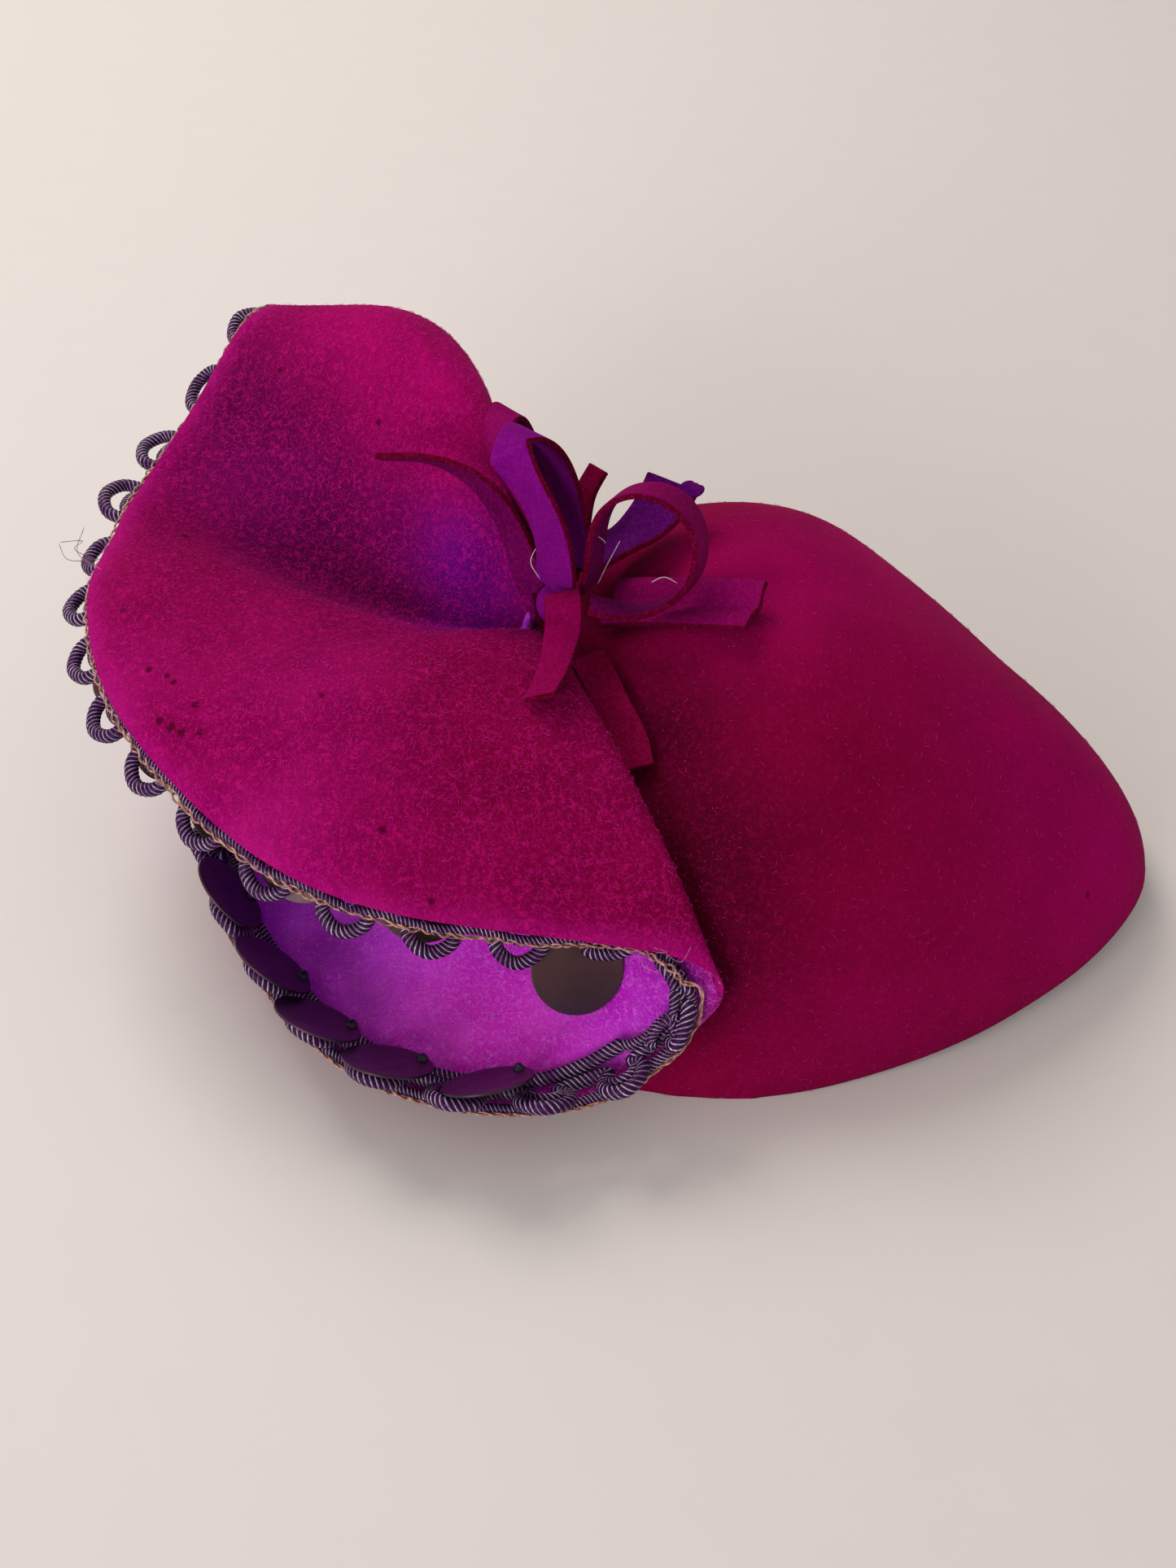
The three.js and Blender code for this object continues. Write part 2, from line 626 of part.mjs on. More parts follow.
// The cord's own place there. It cuts the corners, being too stiff to follow the tight folds.
function lipFrame(share, inset) {
  const around = [-1, -0.5, 0, 0.5, 1].map((step) =>
    lipPlace(share + (step * trimLay("cut", share) * gimpStiffness) / lipLength, inset),
  );
  const mean = (key) =>
    around.reduce((sum, frame) => sum.add(frame[key]), new THREE.Vector3()).divideScalar(around.length);
  const [place, out, along] = ["place", "out", "along"].map(mean);
  const into = out.clone().cross(along.normalize()).normalize();
  return { place, out: out.crossVectors(along, into), along, into };
}

// The frame of the gimp, which leans into the trumpet.
function gimpFrame(share) {
  const lean = THREE.MathUtils.degToRad(trimLay("lean", share));
  const { place, out, along, into } = lipFrame(share, gimpInset);
  const leaning = out.clone().multiplyScalar(Math.cos(lean)).addScaledVector(into, Math.sin(lean));
  into.multiplyScalar(Math.cos(lean)).addScaledVector(out, -Math.sin(lean));
  return { place, out: leaning, along, into, lean };
}

// The rim is cut level where it lies on the table.
const crownWall = feltWall(
  crownSurface,
  shares(crownRimSteps, true),
  shares(crownRiseSteps, false),
  feltThickness,
  new THREE.Vector3(0, 0, 1),
);
addPiece("crown", geometryOfSolid(solidOf(crownWall).trimByPlane([0, 0, 1], 0)), felt);
addPiece(
  "brim",
  feltWall(
    brimSurface,
    shares(brimRoundSteps, true),
    brimLengthMarks,
    feltThickness,
    new THREE.Vector3(1, 0, 0),
  ),
  felt,
);

// The gimp: one cord runs along the lip and swings out into a loop at every pitch, and a plain
// header cord lies beside it, its two ends at the near fold. Each row of a loop is a share of its
// width and of its reach.
const gimpLoop = [
  { along: -0.3, out: 0 },
  { along: -0.5, out: 0.35 },
  { along: -0.42, out: 0.76 },
  { along: 0, out: 1 },
  { along: 0.42, out: 0.76 },
  { along: 0.5, out: 0.35 },
  { along: 0.3, out: 0 },
];
const gimpLoopCount = Math.round(lipLength / gimpLoopPitch);
const loopLine = shares(gimpLoopCount, true).flatMap((middle) =>
  gimpLoop.map(({ along, out }) => {
    const share = middle + (along * gimpLoopWidth) / lipLength;
    const frame = gimpFrame(share);
    frame.place.addScaledVector(frame.out, out * trimLay("reach", share) * gimpLoopReach);
    return frame;
  }),
);

// A cord through places that each know which way the trumpet's inside lies.
function cord(line, closed) {
  const last = line.length - 1;
  const sections = line.map(({ place, into }, i) => {
    const before = line[closed ? (i + last) % line.length : Math.max(i - 1, 0)].place;
    const after = line[closed ? (i + 1) % line.length : Math.min(i + 1, last)].place;
    const onward = after.clone().sub(before).normalize();
    const across = into.clone().cross(onward).normalize();
    return cordSection(place, across, onward.clone().cross(across), gimpCordDiameter, gimpSides);
  });
  return skin(sections, closed);
}
addPiece("gimp_loops", cord(loopLine, true), cordSilk);

const headerLine = shares(gimpHeaderSteps, false).map((step) => {
  const share = gimpHeaderSpan[0] + (gimpHeaderSpan[1] - gimpHeaderSpan[0]) * step;
  return lipFrame(share, gimpInset + (gimpHeaderInset - gimpInset) * trimLay("apart", share));
});
addPiece("gimp_header", cord(headerLine, false), cordSilk);

// The paillettes, each hung from its bead. A bead sits on the cord, clear of the loops' open necks.
function betweenLoops(place) {
  const loop = Math.round(place);
  const away = place - loop;
  return (loop + Math.sign(away || 1) * Math.max(Math.abs(away), 0.25)) / gimpLoopCount;
}
const discStandoff = gimpCordDiameter / 2 + clearance + pailletteStandoff + pailletteThickness / 2;
pailletteHangs.forEach(({ from, loop, turn, drop, seat }, i) => {
  const loopPlace = Math.round(from * gimpLoopCount) + loop;
  const share = seat < 0 ? Math.round(loopPlace) / gimpLoopCount : betweenLoops(loopPlace);
  const { place, out, along, into, lean } = gimpFrame(share);
  place.addScaledVector(out, -seat * trimLay("reach", share) * gimpLoopReach);
  const clear = discStandoff + (gimpHeaderInset - gimpInset) * Math.sin(lean);
  const beadFoot = gimpCordDiameter / 2 + clearance;
  const beadHeight = clear + pailletteBeadDiameter / 2 - beadFoot;
  const bead = new THREE.OctahedronGeometry(pailletteBeadDiameter / 2, 0);
  bead.scale(1, 1, beadHeight / pailletteBeadDiameter);
  bead.applyMatrix4(new THREE.Matrix4().makeBasis(along, out, into.clone().negate()));
  const beadMiddle = place.clone().addScaledVector(into, beadFoot + beadHeight / 2);
  bead.translate(beadMiddle.x, beadMiddle.y, beadMiddle.z);
  place.addScaledVector(into, clear);
  const [sideways, inwards] = [turn, drop].map(THREE.MathUtils.degToRad);
  const hang = out.multiplyScalar(Math.cos(sideways)).addScaledVector(along, Math.sin(sideways));
  const face = into.clone().multiplyScalar(Math.cos(inwards)).addScaledVector(hang, -Math.sin(inwards));
  hang.multiplyScalar(Math.cos(inwards)).addScaledVector(into, Math.sin(inwards));
  const beside = hang.clone().cross(face).negate();
  const middle = place.clone().addScaledVector(hang, pailletteDiameter / 2 - pailletteBeadDiameter / 2);
  const faces = [-0.5, 0.5].map((side) =>
    cordSection(
      middle.clone().addScaledVector(face, side * pailletteThickness),
      hang,
      beside,
      pailletteDiameter,
      pailletteSides,
    ),
  );
  const disc = solidOf(skin(faces, false)).add(solidOf(bead));
  addPiece(`paillette_${String(i + 1).padStart(2, "0")}`, geometryOfSolid(disc), pailletteFilm);
});

// The bow.
const knot = new THREE.Vector3(...knotPlace);
const knotShape = (grow) => {
  const ball = new THREE.IcosahedronGeometry(1, 1);
  ball.scale(...knotSize.map((size) => size / 2 + grow));
  return ball.translate(knot.x, knot.y, knot.z);
};
addPiece("bow_knot", knotShape(0), violetFelt);

for (const { name, reach = [bowReach, bowReach, bowReach], width, root, tip, line } of bowStrips) {
  const places = line.map(
    (row) =>
      new THREE.Vector3(
        knot.x + row.along * reach[0],
        knot.y + row.across * reach[1],
        knot.z + row.rise * reach[2],
      ),
  );
  const middle = new THREE.CatmullRomCurve3(places, false, "centripetal");
  const sections = shares(stripSteps, false).map((step) => {
    const place = middle.getPointAt(step);
    const onward = middle.getTangentAt(step);
    const wide = new THREE.Vector3(...root).lerp(new THREE.Vector3(...tip), step);
    wide.addScaledVector(onward, -wide.dot(onward)).normalize();
    const thick = onward.clone().cross(wide);
    wide.multiplyScalar((width * bowStripWidth) / 2);
    thick.multiplyScalar(bowStripThickness / 2);
    return [
      place.clone().add(wide).add(thick),
      place.clone().sub(wide).add(thick),
      place.clone().sub(wide).sub(thick),
      place.clone().add(wide).sub(thick),
    ];
  });
  const strip = solidOf(skin(sections, false)).subtract(solidOf(knotShape(clearance)));
  const pieces = strip.decompose().sort((a, b) => b.volume() - a.volume());
  addPiece(name, geometryOfSolid(pieces[0]), felt);
}

const box = new THREE.Box3().setFromObject(hat);
const middle = box.getCenter(new THREE.Vector3());
hat.position.set(-middle.x, -middle.y, -box.min.z);

export default hat;
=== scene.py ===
# A percher hat of two-coloured fur felt: teardrop crown, brim flared into a trumpet, loop gimp,
# paillettes and a bow of felt strips. Metres, +Z up, standing on the floor at Z 0.
import json
import math
import random
import bpy
import numpy as np
from mathutils import Matrix, Vector

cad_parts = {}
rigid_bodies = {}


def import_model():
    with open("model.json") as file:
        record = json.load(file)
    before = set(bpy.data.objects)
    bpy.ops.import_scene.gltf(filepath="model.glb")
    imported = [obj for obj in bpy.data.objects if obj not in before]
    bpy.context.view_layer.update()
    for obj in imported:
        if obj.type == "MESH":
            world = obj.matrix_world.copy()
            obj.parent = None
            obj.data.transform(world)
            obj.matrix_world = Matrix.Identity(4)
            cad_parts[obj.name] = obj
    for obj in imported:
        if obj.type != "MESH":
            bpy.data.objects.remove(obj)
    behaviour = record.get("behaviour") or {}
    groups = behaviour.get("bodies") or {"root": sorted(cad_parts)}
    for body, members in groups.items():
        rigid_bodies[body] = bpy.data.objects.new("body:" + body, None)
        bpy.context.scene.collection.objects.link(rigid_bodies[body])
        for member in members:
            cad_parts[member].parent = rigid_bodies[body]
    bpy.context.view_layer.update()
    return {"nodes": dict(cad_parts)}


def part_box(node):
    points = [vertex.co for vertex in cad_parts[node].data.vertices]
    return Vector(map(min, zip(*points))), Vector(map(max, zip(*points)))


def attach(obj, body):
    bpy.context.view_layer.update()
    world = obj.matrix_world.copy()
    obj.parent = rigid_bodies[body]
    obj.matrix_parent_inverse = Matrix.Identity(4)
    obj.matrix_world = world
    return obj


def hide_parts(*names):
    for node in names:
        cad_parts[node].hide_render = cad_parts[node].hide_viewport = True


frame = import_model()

mm = 0.001

# Camera, lights and floor

camera = {
    "eye": (-0.00626, -0.3075, 0.32931),
    "target": (-0.00626, -0.0088, 0.02),
    "lens": 40.17,
}
lights = {
    "key": {"at": (-0.5, 0.75, 1.1), "size": 0.7, "power": 10, "colour": (1.0, 0.96, 0.91)},
    "front": {"at": (-0.7, -1.0, 0.42), "size": 0.7, "power": 8, "colour": (0.97, 0.97, 1.0)},
}
surroundings = {
    "world": (0.93, 0.9, 0.88),
    "worldStrength": 0.5,
    "floor": (0.735, 0.675, 0.645),
    "floorSize": 8,
    "floorPaler": 1.03,
    "lit": (0, 0, 0.03),
}


def deselectAll():
    if bpy.context.object and bpy.context.object.mode != "OBJECT":
        bpy.ops.object.mode_set(mode="OBJECT")
    bpy.ops.object.select_all(action="DESELECT")


def takeUp(piece):
    deselectAll()
    piece.select_set(True)
    bpy.context.view_layer.objects.active = piece


def aim(thing, target):
    thing.rotation_euler = (Vector(target) - thing.location).to_track_quat("-Z", "Y").to_euler()


def addNode(tree, kind, inputs=None, **settings):
    node = tree.nodes.new(kind)
    for key, value in settings.items():
        setattr(node, key, value)
    for key, value in (inputs or {}).items():
        if isinstance(value, bpy.types.NodeSocket):
            tree.links.new(value, node.inputs[key])
        else:
            node.inputs[key].default_value = value
    return node


def reckon(tree, operation, a, b=0.0):
    return addNode(tree, "ShaderNodeMath", {0: a, 1: b}, operation=operation).outputs[0]


def ramp(tree, value, low, high, toLow=0.0, toHigh=1.0):
    made = addNode(
        tree,
        "ShaderNodeMapRange",
        {"Value": value, "From Min": low, "From Max": high, "To Min": toLow, "To Max": toHigh},
        interpolation_type="SMOOTHSTEP",
    )
    return made.outputs[0]


def blendColours(tree, share, a, b, how="MIX"):
    made = addNode(tree, "ShaderNodeMix", {0: share, 6: a, 7: b}, data_type="RGBA", blend_type=how)
    return made.outputs[2]


def noise(tree, place, scale, detail=2.0, roughness=0.5, distortion=0.0):
    inputs = {
        "Vector": place, "Scale": scale, "Detail": detail,
        "Roughness": roughness, "Distortion": distortion,
    }
    return addNode(tree, "ShaderNodeTexNoise", inputs).outputs[0]


def startMaterial(name, **values):
    material = bpy.data.materials.new(name)
    material.use_nodes = True
    tree = material.node_tree
    shader = tree.nodes["Principled BSDF"]
    for key, value in values.items():
        shader.inputs[key.replace("_", " ")].default_value = value
    return material, tree, shader


def addBump(tree, shader, height, strength, distance):
    inputs = {"Height": height, "Strength": strength, "Distance": distance}
    bump = addNode(tree, "ShaderNodeBump", inputs)
    tree.links.new(bump.outputs[0], shader.inputs["Normal"])


bpy.ops.object.camera_add(location=camera["eye"])
viewer = bpy.context.object
viewer.name = "viewer"
viewer.data.sensor_width = 36
viewer.data.lens = camera["lens"]
aim(viewer, camera["target"])
bpy.context.scene.camera = viewer

for name, light in lights.items():
    bpy.ops.object.light_add(type="AREA", location=light["at"])
    lamp = bpy.context.object
    lamp.name = name + "Light"
    lamp.data.size = light["size"]
    lamp.data.energy = light["power"]
    lamp.data.color = light["colour"]
    aim(lamp, surroundings["lit"])

bpy.context.scene.view_settings.view_transform = "Standard"
world = bpy.data.worlds.new("softStudio")
bpy.context.scene.world = world
world.use_nodes = True
background = world.node_tree.nodes["Background"]
background.inputs[0].default_value = (*surroundings["world"], 1)
background.inputs[1].default_value = surroundings["worldStrength"]

deselectAll()
bpy.ops.mesh.primitive_plane_add(size=surroundings["floorSize"])
floor = bpy.context.object
floor.name = "paleFloor"
floorPaint, tree, shader = startMaterial("paleBoard", Roughness=0.55)
place = addNode(tree, "ShaderNodeTexCoord").outputs["Object"]
grain = noise(tree, place, 60, 4)
paler = [min(1, c * surroundings["floorPaler"]) for c in surroundings["floor"]]
colour = blendColours(tree, grain, (*surroundings["floor"], 1), (*paler, 1))
tree.links.new(colour, shader.inputs["Base Color"])
floor.data.materials.append(floorPaint)
print("camera, lights and floor")

# Materials

# Felt tints. Some are painted light and shade, laid as patches on the shells: the lighter pink, the
# lit crimson and the pale violet stand for light; the shaded plum, the dim orchid and the darkest
# crimson stand for shade
tints = {
    "magenta": (0.27, 0.0004, 0.07),
    "highlightPink": (0.46, 0.008, 0.2),
    "crimson": (0.21, 0.0004, 0.032),
    "deepCrimson": (0.12, 0.0003, 0.014),
    "shadowCrimson": (0.045, 0.0002, 0.006),
    "litCrimson": (0.41, 0.0004, 0.125),
    "wine": (0.23, 0.002, 0.09),
    "plum": (0.14, 0.0015, 0.085),
    "violet": (0.17, 0.003, 0.28),
    "liningViolet": (0.62, 0.05, 0.9),
    "orchid": (0.92, 0.06, 0.7),
    "litViolet": (0.88, 0.09, 1.0),
    "shadedOrchid": (0.55, 0.03, 0.5),
    "shadedPlum": (0.09, 0.001, 0.055),
    "bowViolet": (0.23, 0.003, 0.215),
    "darkViolet": (0.085, 0.001, 0.11),
}
# How fine the patches, clouds and specks of every felt are
feltGrain = {"patches": 700, "clouds": 55, "specks": 1500, "speckShare": 0.45, "saturation": 1.05}


def feltMaterial(name, attribute, look):
    material, tree, shader = startMaterial(name, Roughness=0.92)
    shader.inputs["Specular IOR Level"].default_value = 0.03
    shader.inputs["Sheen Weight"].default_value = look["sheen"]
    shader.inputs["Sheen Roughness"].default_value = 0.45
    shader.inputs["Sheen Tint"].default_value = look["sheenTint"]
    place = addNode(tree, "ShaderNodeTexCoord").outputs["Object"]
    if attribute:
        tint = addNode(tree, "ShaderNodeAttribute", attribute_name=attribute).outputs["Color"]
    else:
        tint = addNode(tree, "ShaderNodeRGB").outputs[0]
        tint.default_value = (*look["tint"], 1)
    nap = 0.0  # curly nap fibres are the thin contour lines of a fine noise
    for scale in look["napScales"]:
        fine = noise(tree, place, scale, 1.5, 0.5, 0.6)
        away = reckon(tree, "ABSOLUTE", reckon(tree, "SUBTRACT", fine, 0.5))
        line = ramp(tree, away, 0.0, look["napWidth"], 1.0, 0.0)
        nap = reckon(tree, "MAXIMUM", nap, line) if nap else line
    patches = ramp(tree, noise(tree, place, feltGrain["patches"], 3, 0.6), 0.3, 0.6)
    nap = reckon(tree, "MULTIPLY", nap, patches)
    clouds = ramp(tree, noise(tree, place, feltGrain["clouds"], 4, 0.6), 0.3, 0.7)
    shaded = {
        "Hue": 0.5, "Saturation": feltGrain["saturation"], "Value": look["shade"], "Color": tint,
    }
    darker = addNode(tree, "ShaderNodeHueSaturation", shaded).outputs[0]
    base = blendColours(tree, clouds, darker, tint)
    speck = ramp(tree, noise(tree, place, feltGrain["specks"], 2, 0.6), 0.25, 0.75)
    speckled = reckon(tree, "MULTIPLY", speck, feltGrain["speckShare"])
    base = blendColours(tree, speckled, base, darker)
    lighter = blendColours(tree, look["napPale"], tint, (*look["napTint"], 1))
    napped = reckon(tree, "MULTIPLY", nap, look["napShare"])
    colour = blendColours(tree, napped, base, lighter)
    # Painted shade: a dark dot at each pinprick
    for spot, size in look.get("pricks", ()):
        far = addNode(tree, "ShaderNodeVectorMath", {0: place, 1: spot}, operation="DISTANCE")
        hole = ramp(tree, far.outputs["Value"], size * 0.4, size * 1.2, 0.85, 0.0)
        colour = blendColours(tree, hole, colour, (*look["prickTint"], 1))
    tree.links.new(colour, shader.inputs["Base Color"])
    height = reckon(tree, "ADD", nap, reckon(tree, "MULTIPLY", speck, 0.5))
    addBump(tree, shader, height, look["bump"], 0.0004)
    return material


# Pinpricks in the felt: place and size in metres. Each is a dark dot of painted shade, for the
# shade in the pin hole
outerPricks = [
    ((-0.1042, 0.0318, 0.065), 0.0013), ((-0.0832, 0.0714, 0.0861), 0.001),
    ((-0.0568, 0.0481, 0.0864), 0.001), ((-0.0387, -0.0735, 0.052), 0.0009),
    ((-0.0487, -0.0634, 0.0629), 0.0011), ((-0.0981, -0.0255, 0.0714), 0.0009),
    ((-0.1027, -0.0228, 0.0708), 0.0011), ((-0.0963, -0.0276, 0.0714), 0.001),
    ((-0.0905, -0.0345, 0.0713), 0.0011), ((-0.0985, -0.0366, 0.0685), 0.0013),
    ((-0.0955, -0.0387, 0.0686), 0.0014), ((-0.0931, -0.0404, 0.0686), 0.0013),
    ((-0.0888, -0.0414, 0.0696), 0.001), ((-0.063, -0.0348, 0.0745), 0.001),
    ((-0.1118, -0.0037, 0.0714), 0.0008), ((0.1076, -0.0493, 0.0256), 0.001),
]
crimsonLook = {
    "napScales": (480, 760), "napWidth": 0.05, "napShare": 0.88, "napPale": 0.5,
    "napTint": (0.62, 0.006, 0.22), "shade": 0.7, "bump": 0.4, "sheen": 0.03,
    "sheenTint": (1.0, 0.1, 0.45, 1), "pricks": outerPricks, "prickTint": (0.07, 0.0, 0.012),
}
violetLook = {
    "napScales": (520, 800), "napWidth": 0.05, "napShare": 0.8, "napPale": 0.4,
    "napTint": (0.95, 0.2, 0.95), "shade": 0.74, "bump": 0.45, "sheen": 0.04,
    "sheenTint": (0.8, 0.3, 1.0, 1),
}
crownLook = dict(
    crimsonLook, napShare=0.4, napScales=(560, 860), napTint=(0.5, 0.002, 0.12),
    shade=0.8, bump=0.3,
)
outerFelt = feltMaterial("crimsonFurFelt", "outerTint", crimsonLook)
smoothFelt = feltMaterial("crownFurFelt", "outerTint", crownLook)
innerFelt = feltMaterial("violetFurFelt", "innerTint", violetLook)

# Cord colours: on each wrap's ridge a purple silk that brightens to a near-white lilac glint, a
# painted highlight; in the grooves a near-black that is partly the dark cord and partly painted
# shade; and darker gaps between threads
cordLook = {
    "core": (0.016, 0.002, 0.026),
    "silk": ((0.3, 0.09, 0.32), (1.0, 0.8, 1.0)),
    "gaps": (0.035, 0.004, 0.05),
    "gapShare": 0.8,
}


def gimpCordMaterial(wraps):
    material, tree, shader = startMaterial("wrappedGimpCord", Roughness=0.42)
    shader.inputs["Specular IOR Level"].default_value = 0.15
    shader.inputs["Specular Tint"].default_value = (1.0, 0.7, 0.95, 1)
    shader.inputs["Sheen Weight"].default_value = 0.04
    shader.inputs["Sheen Roughness"].default_value = 0.3
    shader.inputs["Sheen Tint"].default_value = (1.0, 0.8, 0.95, 1)
    along = addNode(tree, "ShaderNodeUVMap", uv_map="wraps").outputs[0]
    parts = addNode(tree, "ShaderNodeSeparateXYZ", {0: along})
    turn = reckon(tree, "MULTIPLY", parts.outputs[0], wraps)
    strand = reckon(tree, "FRACT", reckon(tree, "SUBTRACT", turn, parts.outputs[1]))
    # Painted highlight: the ridge of each wrap takes the silk colour, up to a near-white glint; the
    # near-black grooves are partly painted shade
    ridge = ramp(tree, reckon(tree, "PINGPONG", strand, 0.5), 0.3, 0.46)
    threads = ramp(tree, noise(tree, along, 9, 3, 0.7), 0.35, 0.65)
    place = addNode(tree, "ShaderNodeTexCoord").outputs["Object"]
    glintShare = ramp(tree, noise(tree, place, 260, 3, 0.6), 0.3, 0.7)
    dull, bright = cordLook["silk"]
    silk = blendColours(tree, glintShare, (*dull, 1), (*bright, 1))
    colour = blendColours(tree, ridge, (*cordLook["core"], 1), silk)
    gaps = reckon(tree, "MULTIPLY", threads, cordLook["gapShare"])
    colour = blendColours(tree, gaps, colour, (*cordLook["gaps"], 1))
    tree.links.new(colour, shader.inputs["Base Color"])
    addBump(tree, shader, ridge, 0.6, 0.0002)
    return material


def twoToneMaterial(name, dark, light, roughness):
    material, tree, shader = startMaterial(name, Roughness=roughness)
    place = addNode(tree, "ShaderNodeTexCoord").outputs["Object"]
    share = ramp(tree, noise(tree, place, 900, 2), 0.3, 0.7)
    colour = blendColours(tree, share, (*dark, 1), (*light, 1))
    tree.links.new(colour, shader.inputs["Base Color"])
    addBump(tree, shader, share, 0.3, 0.0002)
    return material


# The film is dark low down and browner above: heights in metres. The brown is the film's own
# colour; the purple-black low down is painted reflection, for how the glossy film looks at a
# grazing angle
filmLook = {
    "low": ((0.012, 0.003, 0.018), (0.035, 0.006, 0.04)),
    "high": ((0.05, 0.02, 0.022), (0.11, 0.048, 0.045)),
    "turns": (0.022, 0.034),
    "dust": (0.25, 0.18, 0.26),
    "dustShare": 0.25,
    "roughness": (0.28, 0.42),
}


def pailletteMaterial():
    material, tree, shader = startMaterial("mattePailletteFilm", Roughness=0.42)
    shader.inputs["Specular IOR Level"].default_value = 0.35
    shader.inputs["Specular Tint"].default_value = (1.0, 0.75, 0.85, 1)
    place = addNode(tree, "ShaderNodeTexCoord").outputs["Object"]
    cast = ramp(tree, noise(tree, place, 35, 3, 0.5), 0.35, 0.65)
    height = addNode(tree, "ShaderNodeSeparateXYZ", {0: place}).outputs[2]
    # Painted reflection: the lower discs turn purple-black
    upper = ramp(tree, height, *filmLook["turns"])
    low = blendColours(tree, cast, *((*tint, 1) for tint in filmLook["low"]))
    high = blendColours(tree, cast, *((*tint, 1) for tint in filmLook["high"]))
    colour = blendColours(tree, upper, low, high)
    dust = ramp(tree, noise(tree, place, 1400, 3, 0.7), 0.62, 0.8)
    dusty = reckon(tree, "MULTIPLY", dust, filmLook["dustShare"])
    colour = blendColours(tree, dusty, colour, (*filmLook["dust"], 1))
    tree.links.new(colour, shader.inputs["Base Color"])
    rough = ramp(tree, noise(tree, place, 300, 3, 0.6), 0.2, 0.8, *filmLook["roughness"])
    tree.links.new(rough, shader.inputs["Roughness"])
    addBump(tree, shader, noise(tree, place, 90, 2), 0.15, 0.0004)
    return material


copperThread = twoToneMaterial("copperThread", (0.18, 0.06, 0.045), (0.62, 0.31, 0.24), 0.4)
pailletteFilm = pailletteMaterial()
beadGlass = twoToneMaterial("darkBead", (0.012, 0.005, 0.02), (0.04, 0.02, 0.06), 0.25)
beadGlass.node_tree.nodes["Principled BSDF"].inputs["Specular IOR Level"].default_value = 0.25
print("materials")

# Felt shells: the crown and the brim


def copyOfNode(node, name):
    mesh = frame["nodes"][node].data.copy()
    mesh.name = name
    mesh.materials.clear()
    piece = bpy.data.objects.new(name, mesh)
    bpy.context.scene.collection.objects.link(piece)
    return piece


def weld(piece, seamAngle):
    takeUp(piece)
    bpy.ops.object.mode_set(mode="EDIT")
    bpy.ops.mesh.select_mode(type="EDGE")
    bpy.ops.mesh.select_all(action="SELECT")
    bpy.ops.mesh.remove_doubles(threshold=1e-6)
    bpy.ops.mesh.customdata_custom_splitnormals_clear()
    bpy.ops.mesh.tris_convert_to_quads(
        face_threshold=math.radians(60), shape_threshold=math.radians(75)
    )
    bpy.ops.mesh.select_all(action="DESELECT")
    bpy.ops.mesh.edges_select_sharp(sharpness=math.radians(seamAngle))
    bpy.ops.mesh.mark_seam(clear=False)
    bpy.ops.object.mode_set(mode="OBJECT")


def selectFaces(piece, wanted):
    mesh = piece.data
    mesh.vertices.foreach_set("select", [False] * len(mesh.vertices))
    mesh.edges.foreach_set("select", [False] * len(mesh.edges))
    mesh.polygons.foreach_set("select", wanted)


def areaOf(piece, group):
    return sum(piece.data.polygons[i].area for i in group)


# Faces grouped by the seams around them, the largest group first
def sidesOf(piece):
    mesh = piece.data
    left = set(range(len(mesh.polygons)))
    sides = []
    while left:
        start = min(left)
        selectFaces(piece, [i == start for i in range(len(mesh.polygons))])
        takeUp(piece)
        bpy.ops.object.mode_set(mode="EDIT")
        bpy.ops.mesh.select_mode(type="FACE")
        bpy.ops.mesh.select_linked(delimit={"SEAM"})
        bpy.ops.object.mode_set(mode="OBJECT")
        group = [p.index for p in mesh.polygons if p.select]
        sides.append(group)
        left -= set(group)
    return sorted(sides, key=lambda group: areaOf(piece, group), reverse=True)


def creaseBetween(piece, sides, crease):
    mesh = piece.data
    side = {}
    for k, group in enumerate(sides):
        for i in group:
            side[i] = k
    touching = {}
    for polygon in mesh.polygons:
        for key in polygon.edge_keys:
            touching.setdefault(key, set()).add(side[polygon.index])
    values = [crease if len(touching.get(e.key, ())) > 1 else 0.0 for e in mesh.edges]
    attribute = mesh.attributes.new("crease_edge", "FLOAT", "EDGE")
    attribute.data.foreach_set("value", values)


def smoothOut(piece, levels):
    takeUp(piece)
    smooth = piece.modifiers.new("smooth", "SUBSURF")
    smooth.levels = smooth.render_levels = levels
    bpy.ops.object.modifier_apply(modifier="smooth")
    bpy.ops.object.shade_smooth()


def placesOf(piece):
    places = np.empty(len(piece.data.vertices) * 3, dtype=np.float32)
    piece.data.vertices.foreach_get("co", places)
    return places.reshape(-1, 3)


# Soft patches of tint, many of them painted light and shade: each is a place in millimetres, a
# tint, a reach and a strength
def paint(piece, attribute, base, spots):
    places = placesOf(piece)
    colours = np.tile(np.array(tints[base], dtype=np.float32), (len(places), 1))
    for place, tint, reach, strength in spots:
        apart = places - np.array(place, dtype=np.float32) * mm
        away = np.linalg.norm(apart, axis=1) / (reach * mm)
        share = (strength * np.exp(-away * away))[:, None]
        colours = colours * (1 - share) + np.array(tints[tint], dtype=np.float32) * share
    layer = piece.data.color_attributes.new(name=attribute, type="FLOAT_COLOR", domain="POINT")
    opaque = np.column_stack([colours, np.ones(len(places))])
    layer.data.foreach_set("color", opaque.ravel())


# Positive where a group of faces looks away from a place, negative where it looks at it
def meanFacing(piece, group, middle):
    total = 0.0
    for i in group:
        face = piece.data.polygons[i]
        total += face.area * face.normal.dot((face.center - middle).normalized())
    return total


